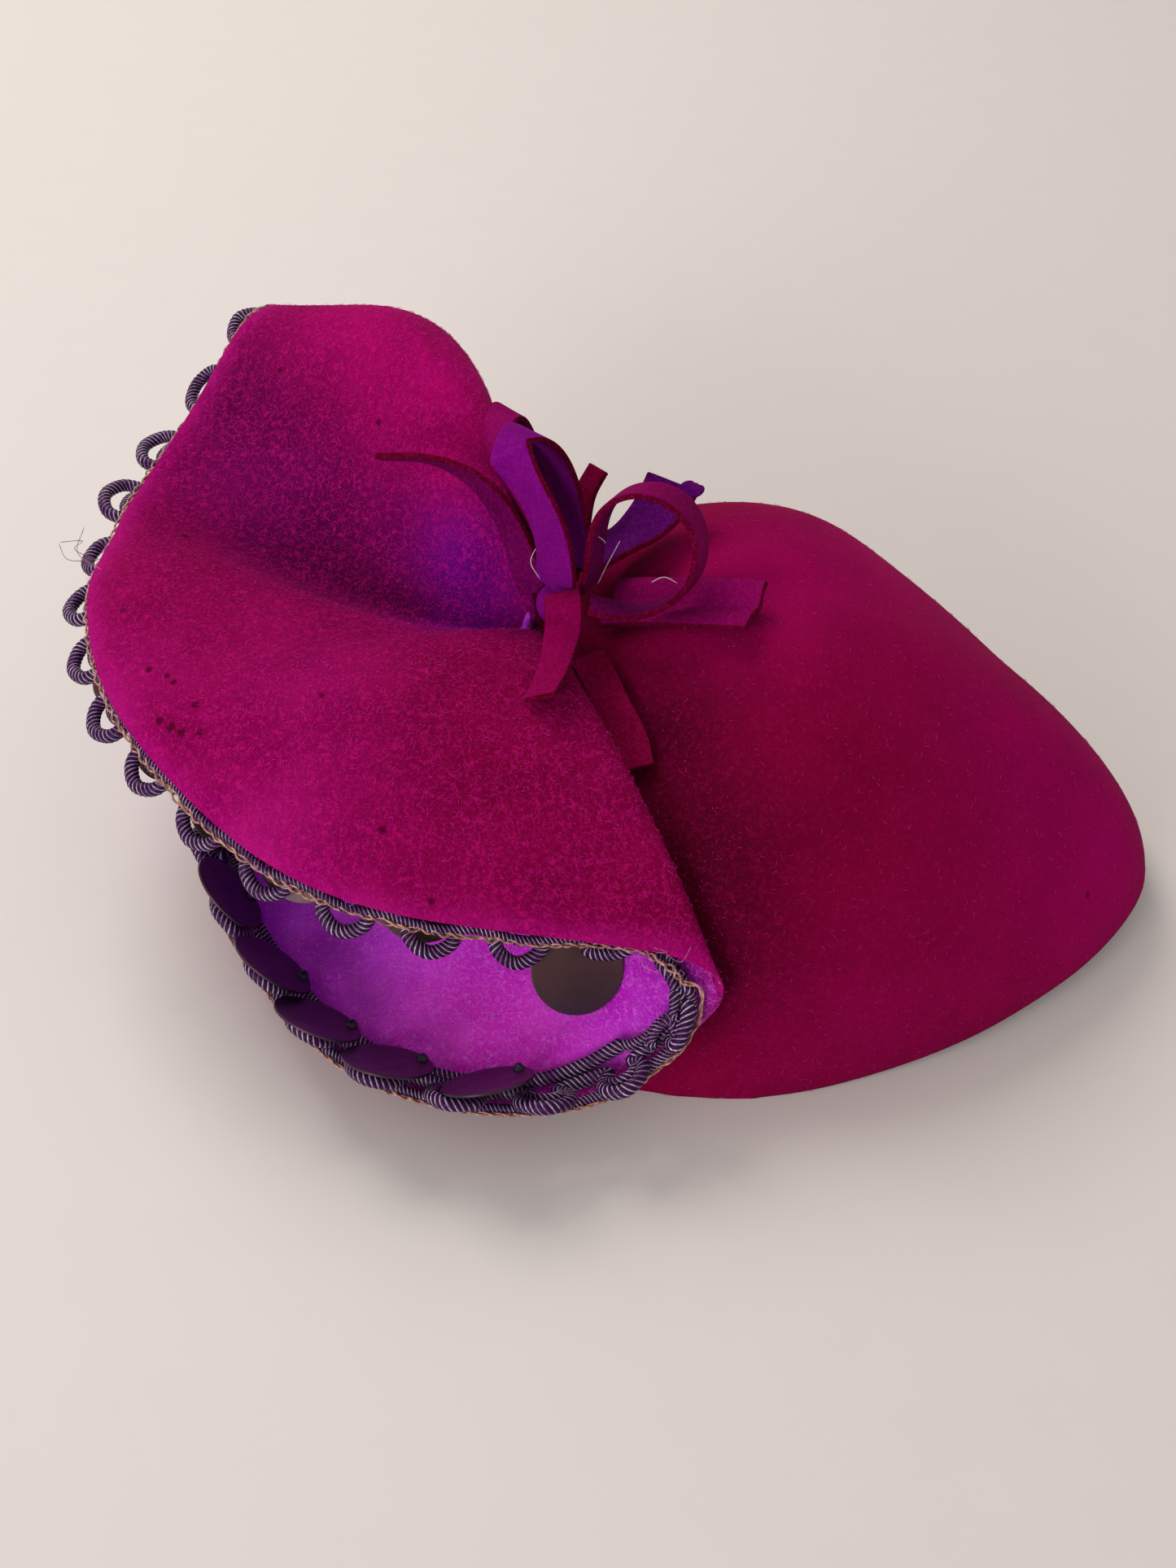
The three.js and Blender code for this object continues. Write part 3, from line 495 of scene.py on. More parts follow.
def dressShell(node, shell, felt):
    piece = copyOfNode(node, node + "Felt")
    weld(piece, shell["seamAngle"])
    sides = sidesOf(piece)
    piece.data.materials.append(felt)
    piece.data.materials.append(innerFelt)
    for group in sides[:2]:
        inside = meanFacing(piece, group, shell["middle"]) < 0
        for i in group:
            piece.data.polygons[i].material_index = 1 if inside else 0
    creaseBetween(piece, sides, shell["crease"])
    smoothOut(piece, 2)
    paint(piece, "outerTint", shell["tint"], shell["outer"])
    paint(piece, "innerTint", "liningViolet", shell["inner"])
    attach(piece, "root")
    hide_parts(node)
    return piece


brim = {
    "middle": Vector((-0.055, 0.0, 0.04)),
    "seamAngle": 62,
    "crease": 0.55,
    "tint": "magenta",
    # On the outside, the pink patches on the near lobe are painted highlights and the lighter
    # crimson patches on the upper lobe's right are painted light. The violet and plum patches in
    # the valley and on the upper lobe's left, the darkest plum patches behind the near lobe's crest
    # and on the upper lobe's left, and the crimson patches on the near lobe's right are painted
    # shade
    "outer": [
        ((-62, -34, 75), "highlightPink", 26, 0.25), ((-72.6, -65, 58), "highlightPink", 16, 0.5),
        ((-110, -25, 68), "highlightPink", 14, 0.3), ((-29, 6, 60), "violet", 16, 0.9),
        ((-37, 17, 67), "violet", 15, 0.9), ((-54, 32, 69), "plum", 16, 0.8),
        ((-71, 32, 57), "plum", 22, 0.7), ((-75, 47, 68), "plum", 20, 0.8),
        ((-93, 69, 77), "shadedPlum", 24, 0.8), ((-61, 77, 100), "litCrimson", 20, 0.8),
        ((-37, 51, 100), "litCrimson", 24, 0.9), ((-19, -50, 66), "crimson", 22, 0.7),
        ((7, -70, 50), "crimson", 22, 0.7), ((-36, -33, 73), "crimson", 20, 0.5),
        ((-20, -8, 73), "crimson", 18, 0.6), ((10, -83, 20), "magenta", 22, 0.6),
        ((-37, 25, 60), "violet", 14, 0.5),
        ((-85, 43, 61), "plum", 14, 0.6), ((-100, 50, 70), "plum", 16, 0.6),
        ((-85, 38, 57), "shadedPlum", 8, 0.6), ((-72, 33, 55), "shadedPlum", 9, 0.7),
        ((-61, 26, 54), "shadedPlum", 9, 0.7), ((-50, 19, 54), "shadedPlum", 8, 0.6),
    ],
    # In the lining, the pale violet patch at the mouth's left is painted light and the dim orchid
    # patch near the corner is painted shade
    "inner": [
        ((-36, -74, 13), "orchid", 26, 0.8), ((-21, -83, 13), "orchid", 22, 0.8),
        ((-60, -65, 10), "orchid", 18, 0.4), ((0, -60, 40), "orchid", 30, 0.3),
        ((14, -70, 26), "shadedOrchid", 20, 0.9), ((-67, -54, 8), "litViolet", 22, 0.9),
    ],
}
brimFelt = dressShell("brim", brim, outerFelt)

crown = {
    "middle": Vector((0.031, -0.003, 0.0)),
    "seamAngle": 62,
    "crease": 0.8,
    "tint": "crimson",
    # Painted shade: the darkest crimson patches beside the brim's fold, where the fold shades the
    # crown. Painted light: the lighter crimson patches on the crown's top and far side
    "outer": [
        ((22, -76, 36), "shadowCrimson", 17, 0.85), ((18, -60, 51), "shadowCrimson", 19, 0.9),
        ((11, -33, 61), "shadowCrimson", 18, 0.85), ((60, -85, 14), "magenta", 34, 0.5),
        ((113, -39, 30), "litCrimson", 34, 0.8), ((90, -26, 55), "litCrimson", 24, 0.4),
        ((36, 6, 76), "litCrimson", 30, 0.5), ((69, 29, 56), "litCrimson", 30, 0.5),
    ],
    "inner": [],
}
dressShell("crown", crown, smoothFelt)
print("crown and brim")

# The line of the lip that the trims follow, in millimetres about the hat's own middle

hat = {
    "shift": Vector((-6.2585, -8.7989, 0.0)),
    "feltThickness": 1.8,
    "clearance": 0.3,
    "brimReach": 105,
    "brimSpread": 100,
    "brimRise": 100,
    "edgeCurl": 3,
    "curlStart": 0.82,
    "brimMiddle": (-10, 8),
    "neck": Vector((-12, 8, 63)),
    "innerBend": 0.3,
    "outerBend": 0.68,
    "lastMark": 0.94,
    "lipSteps": 400,
}
# Along, across, rise, inner rise, outer rise, swing and curl of each rib from the near fold
brimRibs = [
    (-0.32, -0.79, 0.39, 0.72, 0.66, -0.04, 0),
    (-0.07, -0.76, 0.43, 0.76, 0.71, 0, 0.5),
    (0.33, -0.75, 0.52, 0.78, 0.75, 0, 0.7),
    (0.575, -0.65, 0.58, 0.8, 0.78, -0.02, 0.8),
    (0.83, -0.395, 0.66, 0.77, 0.77, -0.04, 0.8),
    (0.955, -0.17, 0.68, 0.71, 0.76, -0.08, 0.8),
    (1.015, 0.09, 0.7, 0.67, 0.77, -0.15, 0.8),
    (1.0, 0.29, 0.68, 0.61, 0.78, -0.16, 0.7),
    (0.985, 0.4, 0.68, 0.46, 0.6, -0.04, 0.7),
    (0.96, 0.5, 0.68, 0.44, 0.51, 0, 0.7),
    (0.87, 0.76, 0.74, 0.62, 0.68, 0, 0.7),
    (0.7, 0.947, 0.93, 0.8, 0.97, 0, 0.6),
    (0.5, 1.04, 0.77, 0.92, 1.28, 0, 0.4),
    (0.34, 1.04, 0.7, 0.98, 1.2, 0, 0.2),
    (0.235, 0.98, 0.6, 0.98, 1.05, 0, 0),
    (0.21, 0.95, 0.42, 0.93, 0.86, 0, 0),
    (0.245, 0.98, 0.22, 0.8, 0.62, 0, 0),
    (0.345, 0.92, 0.09, 0.66, 0.3, 0, 0),
    (0.45, 0.77, 0.06, 0.52, 0.04, 0, 0.6),
    (0.65, 0.54, 0.05, 0.4, -0.105, 0, 1),
    (0.8, 0.1, 0.07, 0.35, -0.125, 0, 1),
    (0.78, -0.345, 0.14, 0.35, -0.07, 0, 1),
    (0.64, -0.61, 0.09, 0.42, -0.06, 0, 1.1),
    (0.4, -0.87, 0.07, 0.54, 0.02, 0, 1.3),
    (0.07, -0.98, 0.08, 0.58, 0.08, 0, 1.1),
    (-0.14, -0.92, 0.12, 0.66, 0.33, 0, 0.4),
    (-0.31, -0.86, 0.25, 0.68, 0.49, -0.03, 0),
    (-0.365, -0.83, 0.33, 0.71, 0.58, -0.04, 0),
]


def ribLip(rib):
    x, y = hat["brimMiddle"]
    reach, spread = rib[0] * hat["brimReach"], rib[1] * hat["brimSpread"]
    return Vector((x - reach, y + spread, rib[2] * hat["brimRise"]))


def ribBend(rib, share, rise):
    place = hat["neck"].lerp(ribLip(rib), share)
    return Vector((place.x, place.y + rib[5] * hat["brimSpread"], rise * hat["brimRise"]))


# A place on the smooth curve through the points, counted in points from the first
def smoothPlace(points, place, closed=True):
    count = len(points)
    i = math.floor(place)
    w = place - i
    if closed:
        a, b, c, d = (points[(i + k) % count] for k in (-1, 0, 1, 2))
    else:
        i = min(max(i, 0), count - 2)
        w = place - i
        b, c = points[i], points[i + 1]
        a = points[i - 1] if i > 0 else b * 2 - c
        d = points[i + 2] if i + 2 < count else c * 2 - b
    one, two, three = (max((q - p).length, 1e-6) ** 0.5 for p, q in ((a, b), (b, c), (c, d)))
    t1 = ((b - a) / one - (c - a) / (one + two) + (c - b) / two) * two
    t2 = ((c - b) / two - (d - b) / (two + three) + (d - c) / three) * two
    return b + t1 * w + (c * 3 - b * 3 - t1 * 2 - t2) * w * w + (b * 2 - c * 2 + t1 + t2) * w**3


lipLine = [ribLip(rib) for rib in brimRibs]
innerLine = [ribBend(rib, hat["innerBend"], rib[3]) for rib in brimRibs]
outerLine = [ribBend(rib, hat["outerBend"], rib[4]) for rib in brimRibs]


def brimFlow(turn, way):
    place = (turn % 1) * len(brimRibs)
    back = 1 - way
    return (
        hat["neck"] * back**3
        + smoothPlace(innerLine, place) * (3 * way * back**2)
        + smoothPlace(outerLine, place) * (3 * way**2 * back)
        + smoothPlace(lipLine, place) * way**3
    )


def brimSurface(turn, way):
    step = 1e-3
    inside = min(max(way, 0.02), 1 - step)  # off the neck, where all ribs meet
    here = brimFlow(turn, inside)
    inward = (brimFlow(turn, inside + step) - here).cross(brimFlow(turn + step, inside) - here)
    place = (turn % 1) * len(brimRibs)
    i = int(place)
    curl = brimRibs[i][6] + (brimRibs[(i + 1) % len(brimRibs)][6] - brimRibs[i][6]) * (place - i)
    rolled = max(way - hat["curlStart"], 0) / (1 - hat["curlStart"])
    return brimFlow(turn, way) + inward.normalized() * (hat["edgeCurl"] * curl * rolled * rolled)


lipTurns = [i / hat["lipSteps"] for i in range(hat["lipSteps"] + 1)]
lipMarks = [brimSurface(turn, 1) for turn in lipTurns]
lipDistances = [0.0]
for before, after in zip(lipMarks, lipMarks[1:]):
    lipDistances.append(lipDistances[-1] + (after - before).length)
lipLength = lipDistances[-1]


def lipTurn(share):
    return float(np.interp((share % 1) * lipLength, lipDistances, lipTurns))


# Where the felt's edge rolls over, its outside is lighter, a painted highlight, and the lining
# turns magenta: tint and reach in metres
rolledEdge = {"outerTint": ("highlightPink", 0.0042), "innerTint": ("magenta", 0.0045)}
rolledStrength = 0.8
lipPlaces = (np.array([tuple(m) for m in lipMarks]) + np.array(hat["shift"])) * mm
feltPlaces = placesOf(brimFelt)
apart = feltPlaces[:, None, :] - lipPlaces[None, ::2, :].astype(np.float32)
fromLip = np.min(np.linalg.norm(apart, axis=2), axis=1)
for attribute, (tint, reach) in rolledEdge.items():
    rolled = rolledStrength * np.exp(-((fromLip / reach) ** 2))[:, None]
    layer = brimFelt.data.color_attributes[attribute]
    painted = np.empty(len(feltPlaces) * 4, dtype=np.float32)
    layer.data.foreach_get("color", painted)
    painted = painted.reshape(-1, 4)
    edge = np.array(tints[tint], dtype=np.float32)
    painted[:, :3] = painted[:, :3] * (1 - rolled) + edge * rolled
    layer.data.foreach_set("color", painted.ravel())

# The gimp along the lip, in millimetres

gimp = {
    "diameter": 3.1,
    "loopPitch": 19,
    "loopWidth": 10.5,
    "loopReach": 10.5,
    "loopShape": (
        (-0.3, 0), (-0.5, 0.35), (-0.42, 0.76), (0, 1), (0.42, 0.76), (0.5, 0.35), (0.3, 0),
    ),
    "inset": 2.4,
    "headerInset": 6.5,
    "headerSpan": (0.045, 0.95),
    "headerSteps": 76,
    "stiffness": 7,
    "sides": 12,
    "step": 0.32,
    "wrapPitch": 1.15,
    "wraps": 4,
    "relief": 0.05,
}
gimpCord = gimpCordMaterial(gimp["wraps"])
# How it lies at shares of the lip, with the lean in degrees
trimColumns = ("share", "lean", "reach", "header", "stiffness")
trimLays = [
    (0, 20, 0.12, 2.0, 2.7), (0.02, 5, 0.4, 1.7, 2), (0.05, 0, 0.95, 1, 1), (0.3, 0, 1, 1, 1),
    (0.34, 0, 1, 1.1, 0.4), (0.4, 0, 1, 1.1, 0.6), (0.46, 0, 1, 1.2, 1), (0.5, 0, 0.8, 1.6, 1),
    (0.56, 0, 0.8, 1.7, 1), (0.6, 5, 1, 1.1, 1), (0.8, 10, 1, 1, 1), (0.87, 15, 1, 1, 1),
    (0.9, 22, 1, 1, 1), (0.93, 48, 0.95, 1, 1), (0.96, 50, 0.6, 1.2, 1.6),
    (0.98, 40, 0.3, 1.7, 2.1), (1, 20, 0.12, 2.0, 2.7),
]


def trimLay(name, share):
    column = trimColumns.index(name)
    shares, values = zip(*((row[0], row[column]) for row in trimLays))
    return float(np.interp(share % 1, shares, values))


# How far a small trim reaches where the gimp's own loops are drawn up
def trimReach(share, growth):
    return min(trimLay("reach", share) * growth, 1)


def lipPlace(share, inset):
    turn = lipTurn(share)
    edge = (brimSurface(turn, 1) - brimSurface(turn, hat["lastMark"])).length
    way = 1 - inset / (edge / (1 - hat["lastMark"]))
    out = (brimSurface(turn, way + 0.01) - brimSurface(turn, way - 0.01)).normalized()
    along = (brimSurface(turn + 0.002, way) - brimSurface(turn - 0.002, way)).normalized()
    into = out.cross(along).normalized()
    standoff = hat["feltThickness"] / 2 + 3 * hat["clearance"] + gimp["diameter"] / 2
    return brimSurface(turn, way) + into * standoff, along.cross(into), along


def lipFrame(share, inset):
    reach = trimLay("stiffness", share) * gimp["stiffness"] / lipLength
    places = [lipPlace(share + step * reach, inset) for step in (-1, -0.5, 0, 0.5, 1)]
    place, out, along = (sum((row[k] for row in places), Vector((0, 0, 0))) / 5 for k in range(3))
    along.normalize()
    into = out.cross(along).normalized()
    return place, along.cross(into), along, into


def gimpFrame(share):
    lean = math.radians(trimLay("lean", share))
    place, out, along, into = lipFrame(share, gimp["inset"])
    leaning = out * math.cos(lean) + into * math.sin(lean)
    return place, leaning, along, into * math.cos(lean) - out * math.sin(lean), lean


def inFrame(place):
    return (place + hat["shift"]) * mm


def meshFrom(name, places, faces, material, uvs=None):
    mesh = bpy.data.meshes.new(name)
    mesh.from_pydata([tuple(p) for p in places], [], faces)
    if uvs is not None:
        layer = mesh.uv_layers.new(name="wraps")
        layer.data.foreach_set("uv", np.asarray(uvs, dtype=np.float32).ravel())
    mesh.materials.append(material)
    mesh.shade_smooth()
    piece = bpy.data.objects.new(name, mesh)
    bpy.context.scene.collection.objects.link(piece)
    return piece


# A smooth line through pairs of place and inward direction, in even steps
def fineLine(points, closed, step):
    places = [p for p, _ in points]
    count = len(places)
    spans = count if closed else count - 1
    marks = np.arange(0, spans, 0.125)
    if not closed:
        marks = np.append(marks, spans)
    rough = [smoothPlace(places, float(m), closed) for m in marks]
    if closed:
        rough = rough + [rough[0]]
        marks = np.append(marks, spans)
    rough = np.array(rough)
    lengths = np.append(0, np.cumsum(np.linalg.norm(np.diff(rough, axis=0), axis=1)))
    rings = max(int(lengths[-1] / step), 3)
    wanted = np.linspace(0, lengths[-1], rings, endpoint=not closed)
    line = np.column_stack([np.interp(wanted, lengths, rough[:, k]) for k in range(3)])
    at = np.interp(wanted, lengths, marks)
    intos = np.array([tuple(i) for _, i in points])
    if closed:
        intos = np.vstack([intos, intos[:1]])
    numbers = np.arange(len(intos))
    looks = np.column_stack([np.interp(at, numbers, intos[:, k]) for k in range(3)])
    return line, looks, wanted


# One joined mesh of wrapped cords: a run is its pairs of place and inward direction, closed or not
def rope(name, runs, material, look):
    places, faces, uvs = [], [], []
    sides = look["sides"]
    for points, closed in runs:
        line, looks, lengths = fineLine(points, closed, look["step"])
        count = len(line)
        if closed:
            onward = np.roll(line, -1, axis=0) - np.roll(line, 1, axis=0)
        else:
            onward = np.gradient(line, axis=0)
        onward /= np.linalg.norm(onward, axis=1)[:, None]
        across = np.cross(looks, onward)
        across /= np.linalg.norm(across, axis=1)[:, None]
        up = np.cross(onward, across)
        turns = np.arange(sides) * 2 * math.pi / sides
        wrap = look["wrapPitch"]
        if closed:  # whole wraps all the way round
            wrap = lengths[-1] * count / (count - 1) / max(round(lengths[-1] / wrap), 1)
        phase = look["wraps"] * turns[None, :] - 2 * math.pi * lengths[:, None] / wrap
        radius = look["diameter"] / 2 * (1 + look["relief"] * np.cos(phase))
        if not closed:  # the ends narrow
            radius[0] *= 0.4
            radius[-1] *= 0.4
        spokes = np.cos(turns)[None, :, None] * across[:, None, :]
        spokes = spokes + np.sin(turns)[None, :, None] * up[:, None, :]
        ring = line[:, None, :] + radius[:, :, None] * spokes
        start = sum(len(p) for p in places)
        places.append(ring.reshape(-1, 3))
        for j in range(count if closed else count - 1):
            here, there = start + j * sides, start + (j + 1) % count * sides
            v0 = lengths[j] / wrap
            v1 = v0 + (lengths[1] - lengths[0]) / wrap
            for i in range(sides):
                n = (i + 1) % sides
                u0, u1 = i / sides, (i + 1) / sides
                faces.append((here + i, here + n, there + n, there + i))
                uvs += [(u0, v0), (u1, v0), (u1, v1), (u0, v1)]
        if not closed:
            faces.append(tuple(start + i for i in reversed(range(sides))))
            faces.append(tuple(start + (count - 1) * sides + i for i in range(sides)))
            uvs += [(0, 0)] * (2 * sides)
    whole = (np.vstack(places) + np.array(hat["shift"])) * mm
    return meshFrom(name, whole, faces, material, uvs)


loopCount = round(lipLength / gimp["loopPitch"])
loopPoints = []
for loop in range(loopCount):
    for along, out in gimp["loopShape"]:
        share = loop / loopCount + along * gimp["loopWidth"] / lipLength
        place, outward, _, into, _ = gimpFrame(share)
        reach = out * trimLay("reach", share) * gimp["loopReach"]
        loopPoints.append((place + outward * reach, into))
gimpLoops = rope("gimpLoops", [(loopPoints, True)], gimpCord, gimp)
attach(gimpLoops, "root")
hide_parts("gimp_loops")

headerPoints = []
first, last = gimp["headerSpan"]
for step in range(gimp["headerSteps"] + 1):
    share = first + (last - first) * step / gimp["headerSteps"]
    inset = gimp["inset"] + (gimp["headerInset"] - gimp["inset"]) * trimLay("header", share)
    place, _, _, into = lipFrame(share, inset)
    headerPoints.append((place, into))
gimpHeader = rope("gimpHeader", [(headerPoints, False)], gimpCord, gimp)
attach(gimpHeader, "root")
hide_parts("gimp_header")

# Smaller loops of finer cord lie inside the big ones
counterLoops = {
    "diameter": 2.3, "sides": 10, "step": 0.32, "wrapPitch": 0.95, "wraps": 3, "relief": 0.05,
    "halfWidth": 4.6, "reach": 5.2, "growth": 1.2, "lift": 0.5, "liftLoss": 0.6,
    "shape": (
        (-1, -0.25), (-0.85, 0.45), (-0.45, 0.9), (0, 1.0), (0.45, 0.9), (0.85, 0.45), (1, -0.25),
    ),
}
runs = []
for loop in range(loopCount):
    arc = []
    for along, out in counterLoops["shape"]:
        share = loop / loopCount + along * counterLoops["halfWidth"] / lipLength
        place, outward, _, into, _ = gimpFrame(share)
        reach = out * trimReach(share, counterLoops["growth"]) * counterLoops["reach"]
        lift = counterLoops["lift"] * (1 - abs(along) * counterLoops["liftLoss"])
        arc.append((place + outward * reach + into * lift, into))
    runs.append((arc, False))

# A cord runs along the felt's edge
edgeCord = {
    "out": 3.7, "swing": 0.6, "lift": -2.1, "perLoop": 6, "growth": 1.2, "least": 0.4,
    "drawnMarks": (0, 0.15, 0.23, 0.52, 0.62, 1),
}


# At the left of the lip the edge cord and the copper thread draw in under the felt
def drawnIn(share, least):
    return float(np.interp(share % 1, edgeCord["drawnMarks"], (1, 1, least, least, 1, 1)))


edgePoints = []
edgeSteps = loopCount * edgeCord["perLoop"]
for k in range(edgeSteps):
    share = k / edgeSteps
    place, outward, _, into, _ = gimpFrame(share)
    shrink = trimReach(share, edgeCord["growth"])
    out = edgeCord["out"] + edgeCord["swing"] * math.cos(2 * math.pi * k / edgeCord["perLoop"])
    out *= shrink * drawnIn(share, edgeCord["least"])
    edgePoints.append((place + outward * out + into * (edgeCord["lift"] * shrink), into))
runs.append((edgePoints, True))

# The cords bunch where they turn at the near corner: turns in degrees
bunch = {
    "span": (-0.058, 0.03), "steps": 15, "insets": (6.9, 5.6, 4.4, 3.6, 3.4, 4.2),
    "lift": 0.9, "sway": 0.7, "swayTurn": 1.9,
    "curls": (-0.034, -0.021, -0.008, 0.006, 0.02), "curlWidth": 3.6, "curlReach": 4.2,
    "curlTurns": (-40, 220), "curlSteps": 6, "curlInset": 3.2, "curlLift": 1.6, "curlClimb": 0.2,
}
corner = []
first, last = bunch["span"]
for step in range(bunch["steps"] + 1):
    part = step / bunch["steps"]
    share = first + (last - first) * part
    inset = float(np.interp(part, np.linspace(0, 1, len(bunch["insets"])), bunch["insets"]))
    inset += bunch["sway"] * math.sin(step * bunch["swayTurn"])
    place, _, _, into = lipFrame(share, inset)
    corner.append((place + into * (bunch["lift"] * math.sin(math.pi * part)), into))
runs.append((corner, False))
first, last = bunch["curlTurns"]
for share in bunch["curls"]:
    arc = []
    for k in range(bunch["curlSteps"] + 1):
        turn = math.radians(first + k * (last - first) / bunch["curlSteps"])
        at = share + bunch["curlWidth"] * math.cos(turn) / lipLength
        inset = bunch["curlInset"] + bunch["curlReach"] * 0.5 * math.sin(turn)
        place, _, _, into = lipFrame(at, inset)
        arc.append((place + into * (bunch["curlLift"] + bunch["curlClimb"] * k), into))
    runs.append((arc, False))
gimpCounters = rope("gimpCounterLoops", runs, gimpCord, counterLoops)
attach(gimpCounters, "root")

# Two strands of copper thread cross each other beside the edge cord
stitch = {
    "diameter": 0.55, "sides": 5, "step": 0.7, "wrapPitch": 2.2, "wraps": 1, "relief": 0.12,
    "period": 6.6, "out": 4.7, "lift": -2.9, "growth": 1.1, "least": 0.65,
    "swing": 0.5, "over": 0.25, "start": 0.4, "jitter": 0.35, "seed": 5,
}
random.seed(stitch["seed"])
stitchSteps = round(lipLength / stitch["period"]) * 4
runs = []
for strand in (1, -1):
    line = []
    for k in range(stitchSteps):
        share = k / stitchSteps
        place, outward, _, into, _ = gimpFrame(share)
        turn = k * math.pi / 2 + stitch["start"]
        side = strand * stitch["swing"] * math.sin(turn)
        side += random.uniform(-stitch["jitter"], stitch["jitter"])
        over = strand * stitch["over"] * math.cos(turn)
        shrink = trimReach(share, stitch["growth"]) * drawnIn(share, stitch["least"])
        out = stitch["out"] * shrink + side
        line.append((place + outward * out + into * (stitch["lift"] + over), into))
    runs.append((line, True))
copperStitch = rope("copperStitch", runs, copperThread, stitch)
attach(copperStitch, "root")
print("gimp and copper thread")

# Paillettes, in millimetres

paillette = {
    "diameter": 20, "thickness": 0.6, "standoff": 1.2, "bead": 3.2, "sides": 48, "dish": 0.25,
    "rim": 0.5, "shoulder": 2.5, "hollow": 3, "bevel": 0.15, "fromLoop": 0.25,
}
# Share of the lip and loops from there, turn and drop in degrees, seat
pailletteHangs = [
    (0, 0.99, 45, -13, -0.9), (0, 2.7, 95, 3, 0), (0, 4.26, 95, 3, 0), (0, 5.51, 95, 3, 0),
    (0, 6.76, 100, 3, 0), (0, 8.25, 100, 3, 0), (0, 9.5, 105, 8, 0), (0, 10.75, 112, 15, 0),
    (0, 12.24, 120, 8, 0), (0, 13.36, 120, 8, 0), (0.5, -2.28, 110, 10, 0), (1, -14.44, -60, 15, 0),
    (1, -13.3, -60, 3, 0), (1, -12.16, -45, 3, 0), (1, -10.83, -20, 0, 0), (1, -9.5, 5, 0, 0),
    (1, -8.25, 10, -3, 0), (1, -6.76, -20, -3, 0), (1, -5.66, -30, -3, 0), (1, -4.56, -40, -3, 0),
    (1, -3.15, -50, -3, 0),
]


def makeDisc():
    deselectAll()
    radius, depth = paillette["diameter"] / 2 * mm, paillette["thickness"] * mm
    bpy.ops.mesh.primitive_cylinder_add(vertices=paillette["sides"], radius=radius, depth=depth)
    disc = bpy.context.object
    disc.data.materials.append(pailletteFilm)
    selectFaces(disc, [abs(p.normal.z) > 0.9 for p in disc.data.polygons])
    bpy.ops.object.mode_set(mode="EDIT")
    bpy.ops.mesh.select_mode(type="FACE")
    bpy.ops.mesh.inset(thickness=paillette["rim"] * mm)
    bpy.ops.mesh.inset(thickness=paillette["shoulder"] * mm)
    bpy.ops.transform.translate(value=(0, 0, -paillette["dish"] * 0.5 * mm))
    bpy.ops.mesh.inset(thickness=paillette["hollow"] * mm)
    bpy.ops.transform.translate(value=(0, 0, -paillette["dish"] * 0.5 * mm))
    bpy.ops.mesh.select_all(action="DESELECT")
    bpy.ops.mesh.select_mode(type="EDGE")
    bpy.ops.mesh.edges_select_sharp(sharpness=math.radians(60))
    bpy.ops.mesh.bevel(offset=paillette["bevel"] * mm, segments=2)
    bpy.ops.object.mode_set(mode="OBJECT")
    bpy.ops.object.shade_smooth_by_angle(angle=math.radians(40))
    return disc


def makeBead(height):
    deselectAll()
    bpy.ops.mesh.primitive_uv_sphere_add(segments=16, ring_count=10, radius=0.5 * mm)
    bead = bpy.context.object
    bpy.ops.object.mode_set(mode="EDIT")
    bpy.ops.transform.resize(value=(paillette["bead"], paillette["bead"], height))
    bpy.ops.object.mode_set(mode="OBJECT")
    bpy.ops.object.shade_smooth()
    bead.data.materials.append(beadGlass)
    return bead


disc = makeDisc()
radius = gimp["diameter"] / 2
discStandoff = radius + hat["clearance"] + paillette["standoff"] + paillette["thickness"] / 2
for number, (start, loops, turn, drop, seat) in enumerate(pailletteHangs, 1):
    loopPlace = round(start * loopCount) + loops
    loop = round(loopPlace)
    away = loopPlace - loop
    between = loop + math.copysign(max(abs(away), paillette["fromLoop"]), away or 1)
    share = (loop if seat < 0 else between) / loopCount
    place, out, along, into, lean = gimpFrame(share)
    place = place - out * (seat * trimLay("reach", share) * gimp["loopReach"])
    clear = discStandoff + (gimp["headerInset"] - gimp["inset"]) * math.sin(lean)
    beadFoot = radius + hat["clearance"]
    beadHeight = clear + paillette["bead"] / 2 - beadFoot
    beadMiddle = place + into * (beadFoot + beadHeight / 2)
    sideways, inwards = math.radians(turn), math.radians(drop)
    hang = out * math.cos(sideways) + along * math.sin(sideways)
    face = into * math.cos(inwards) - hang * math.sin(inwards)
    hang = hang * math.cos(inwards) + into * math.sin(inwards)
    middle = place + into * clear + hang * (paillette["diameter"] / 2 - paillette["bead"] / 2)
    bead = makeBead(beadHeight)
    lay = Matrix((along, out, into)).transposed().to_4x4()
    bead.data.transform(Matrix.Translation(inFrame(beadMiddle)) @ lay)
    hung = disc.copy()
    hung.data = disc.data.copy()
    bpy.context.scene.collection.objects.link(hung)
    lay = Matrix((hang, face.cross(hang), face)).transposed().to_4x4()
    hung.data.transform(Matrix.Translation(inFrame(middle)) @ lay)
    takeUp(hung)
    bead.select_set(True)
    bpy.ops.object.join()
    hung.name = f"paillette{number:02d}"
    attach(hung, "root")
    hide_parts(f"paillette_{number:02d}")
bpy.data.objects.remove(disc)
print("paillettes")

# The bow of felt strips, with its lengths in millimetres

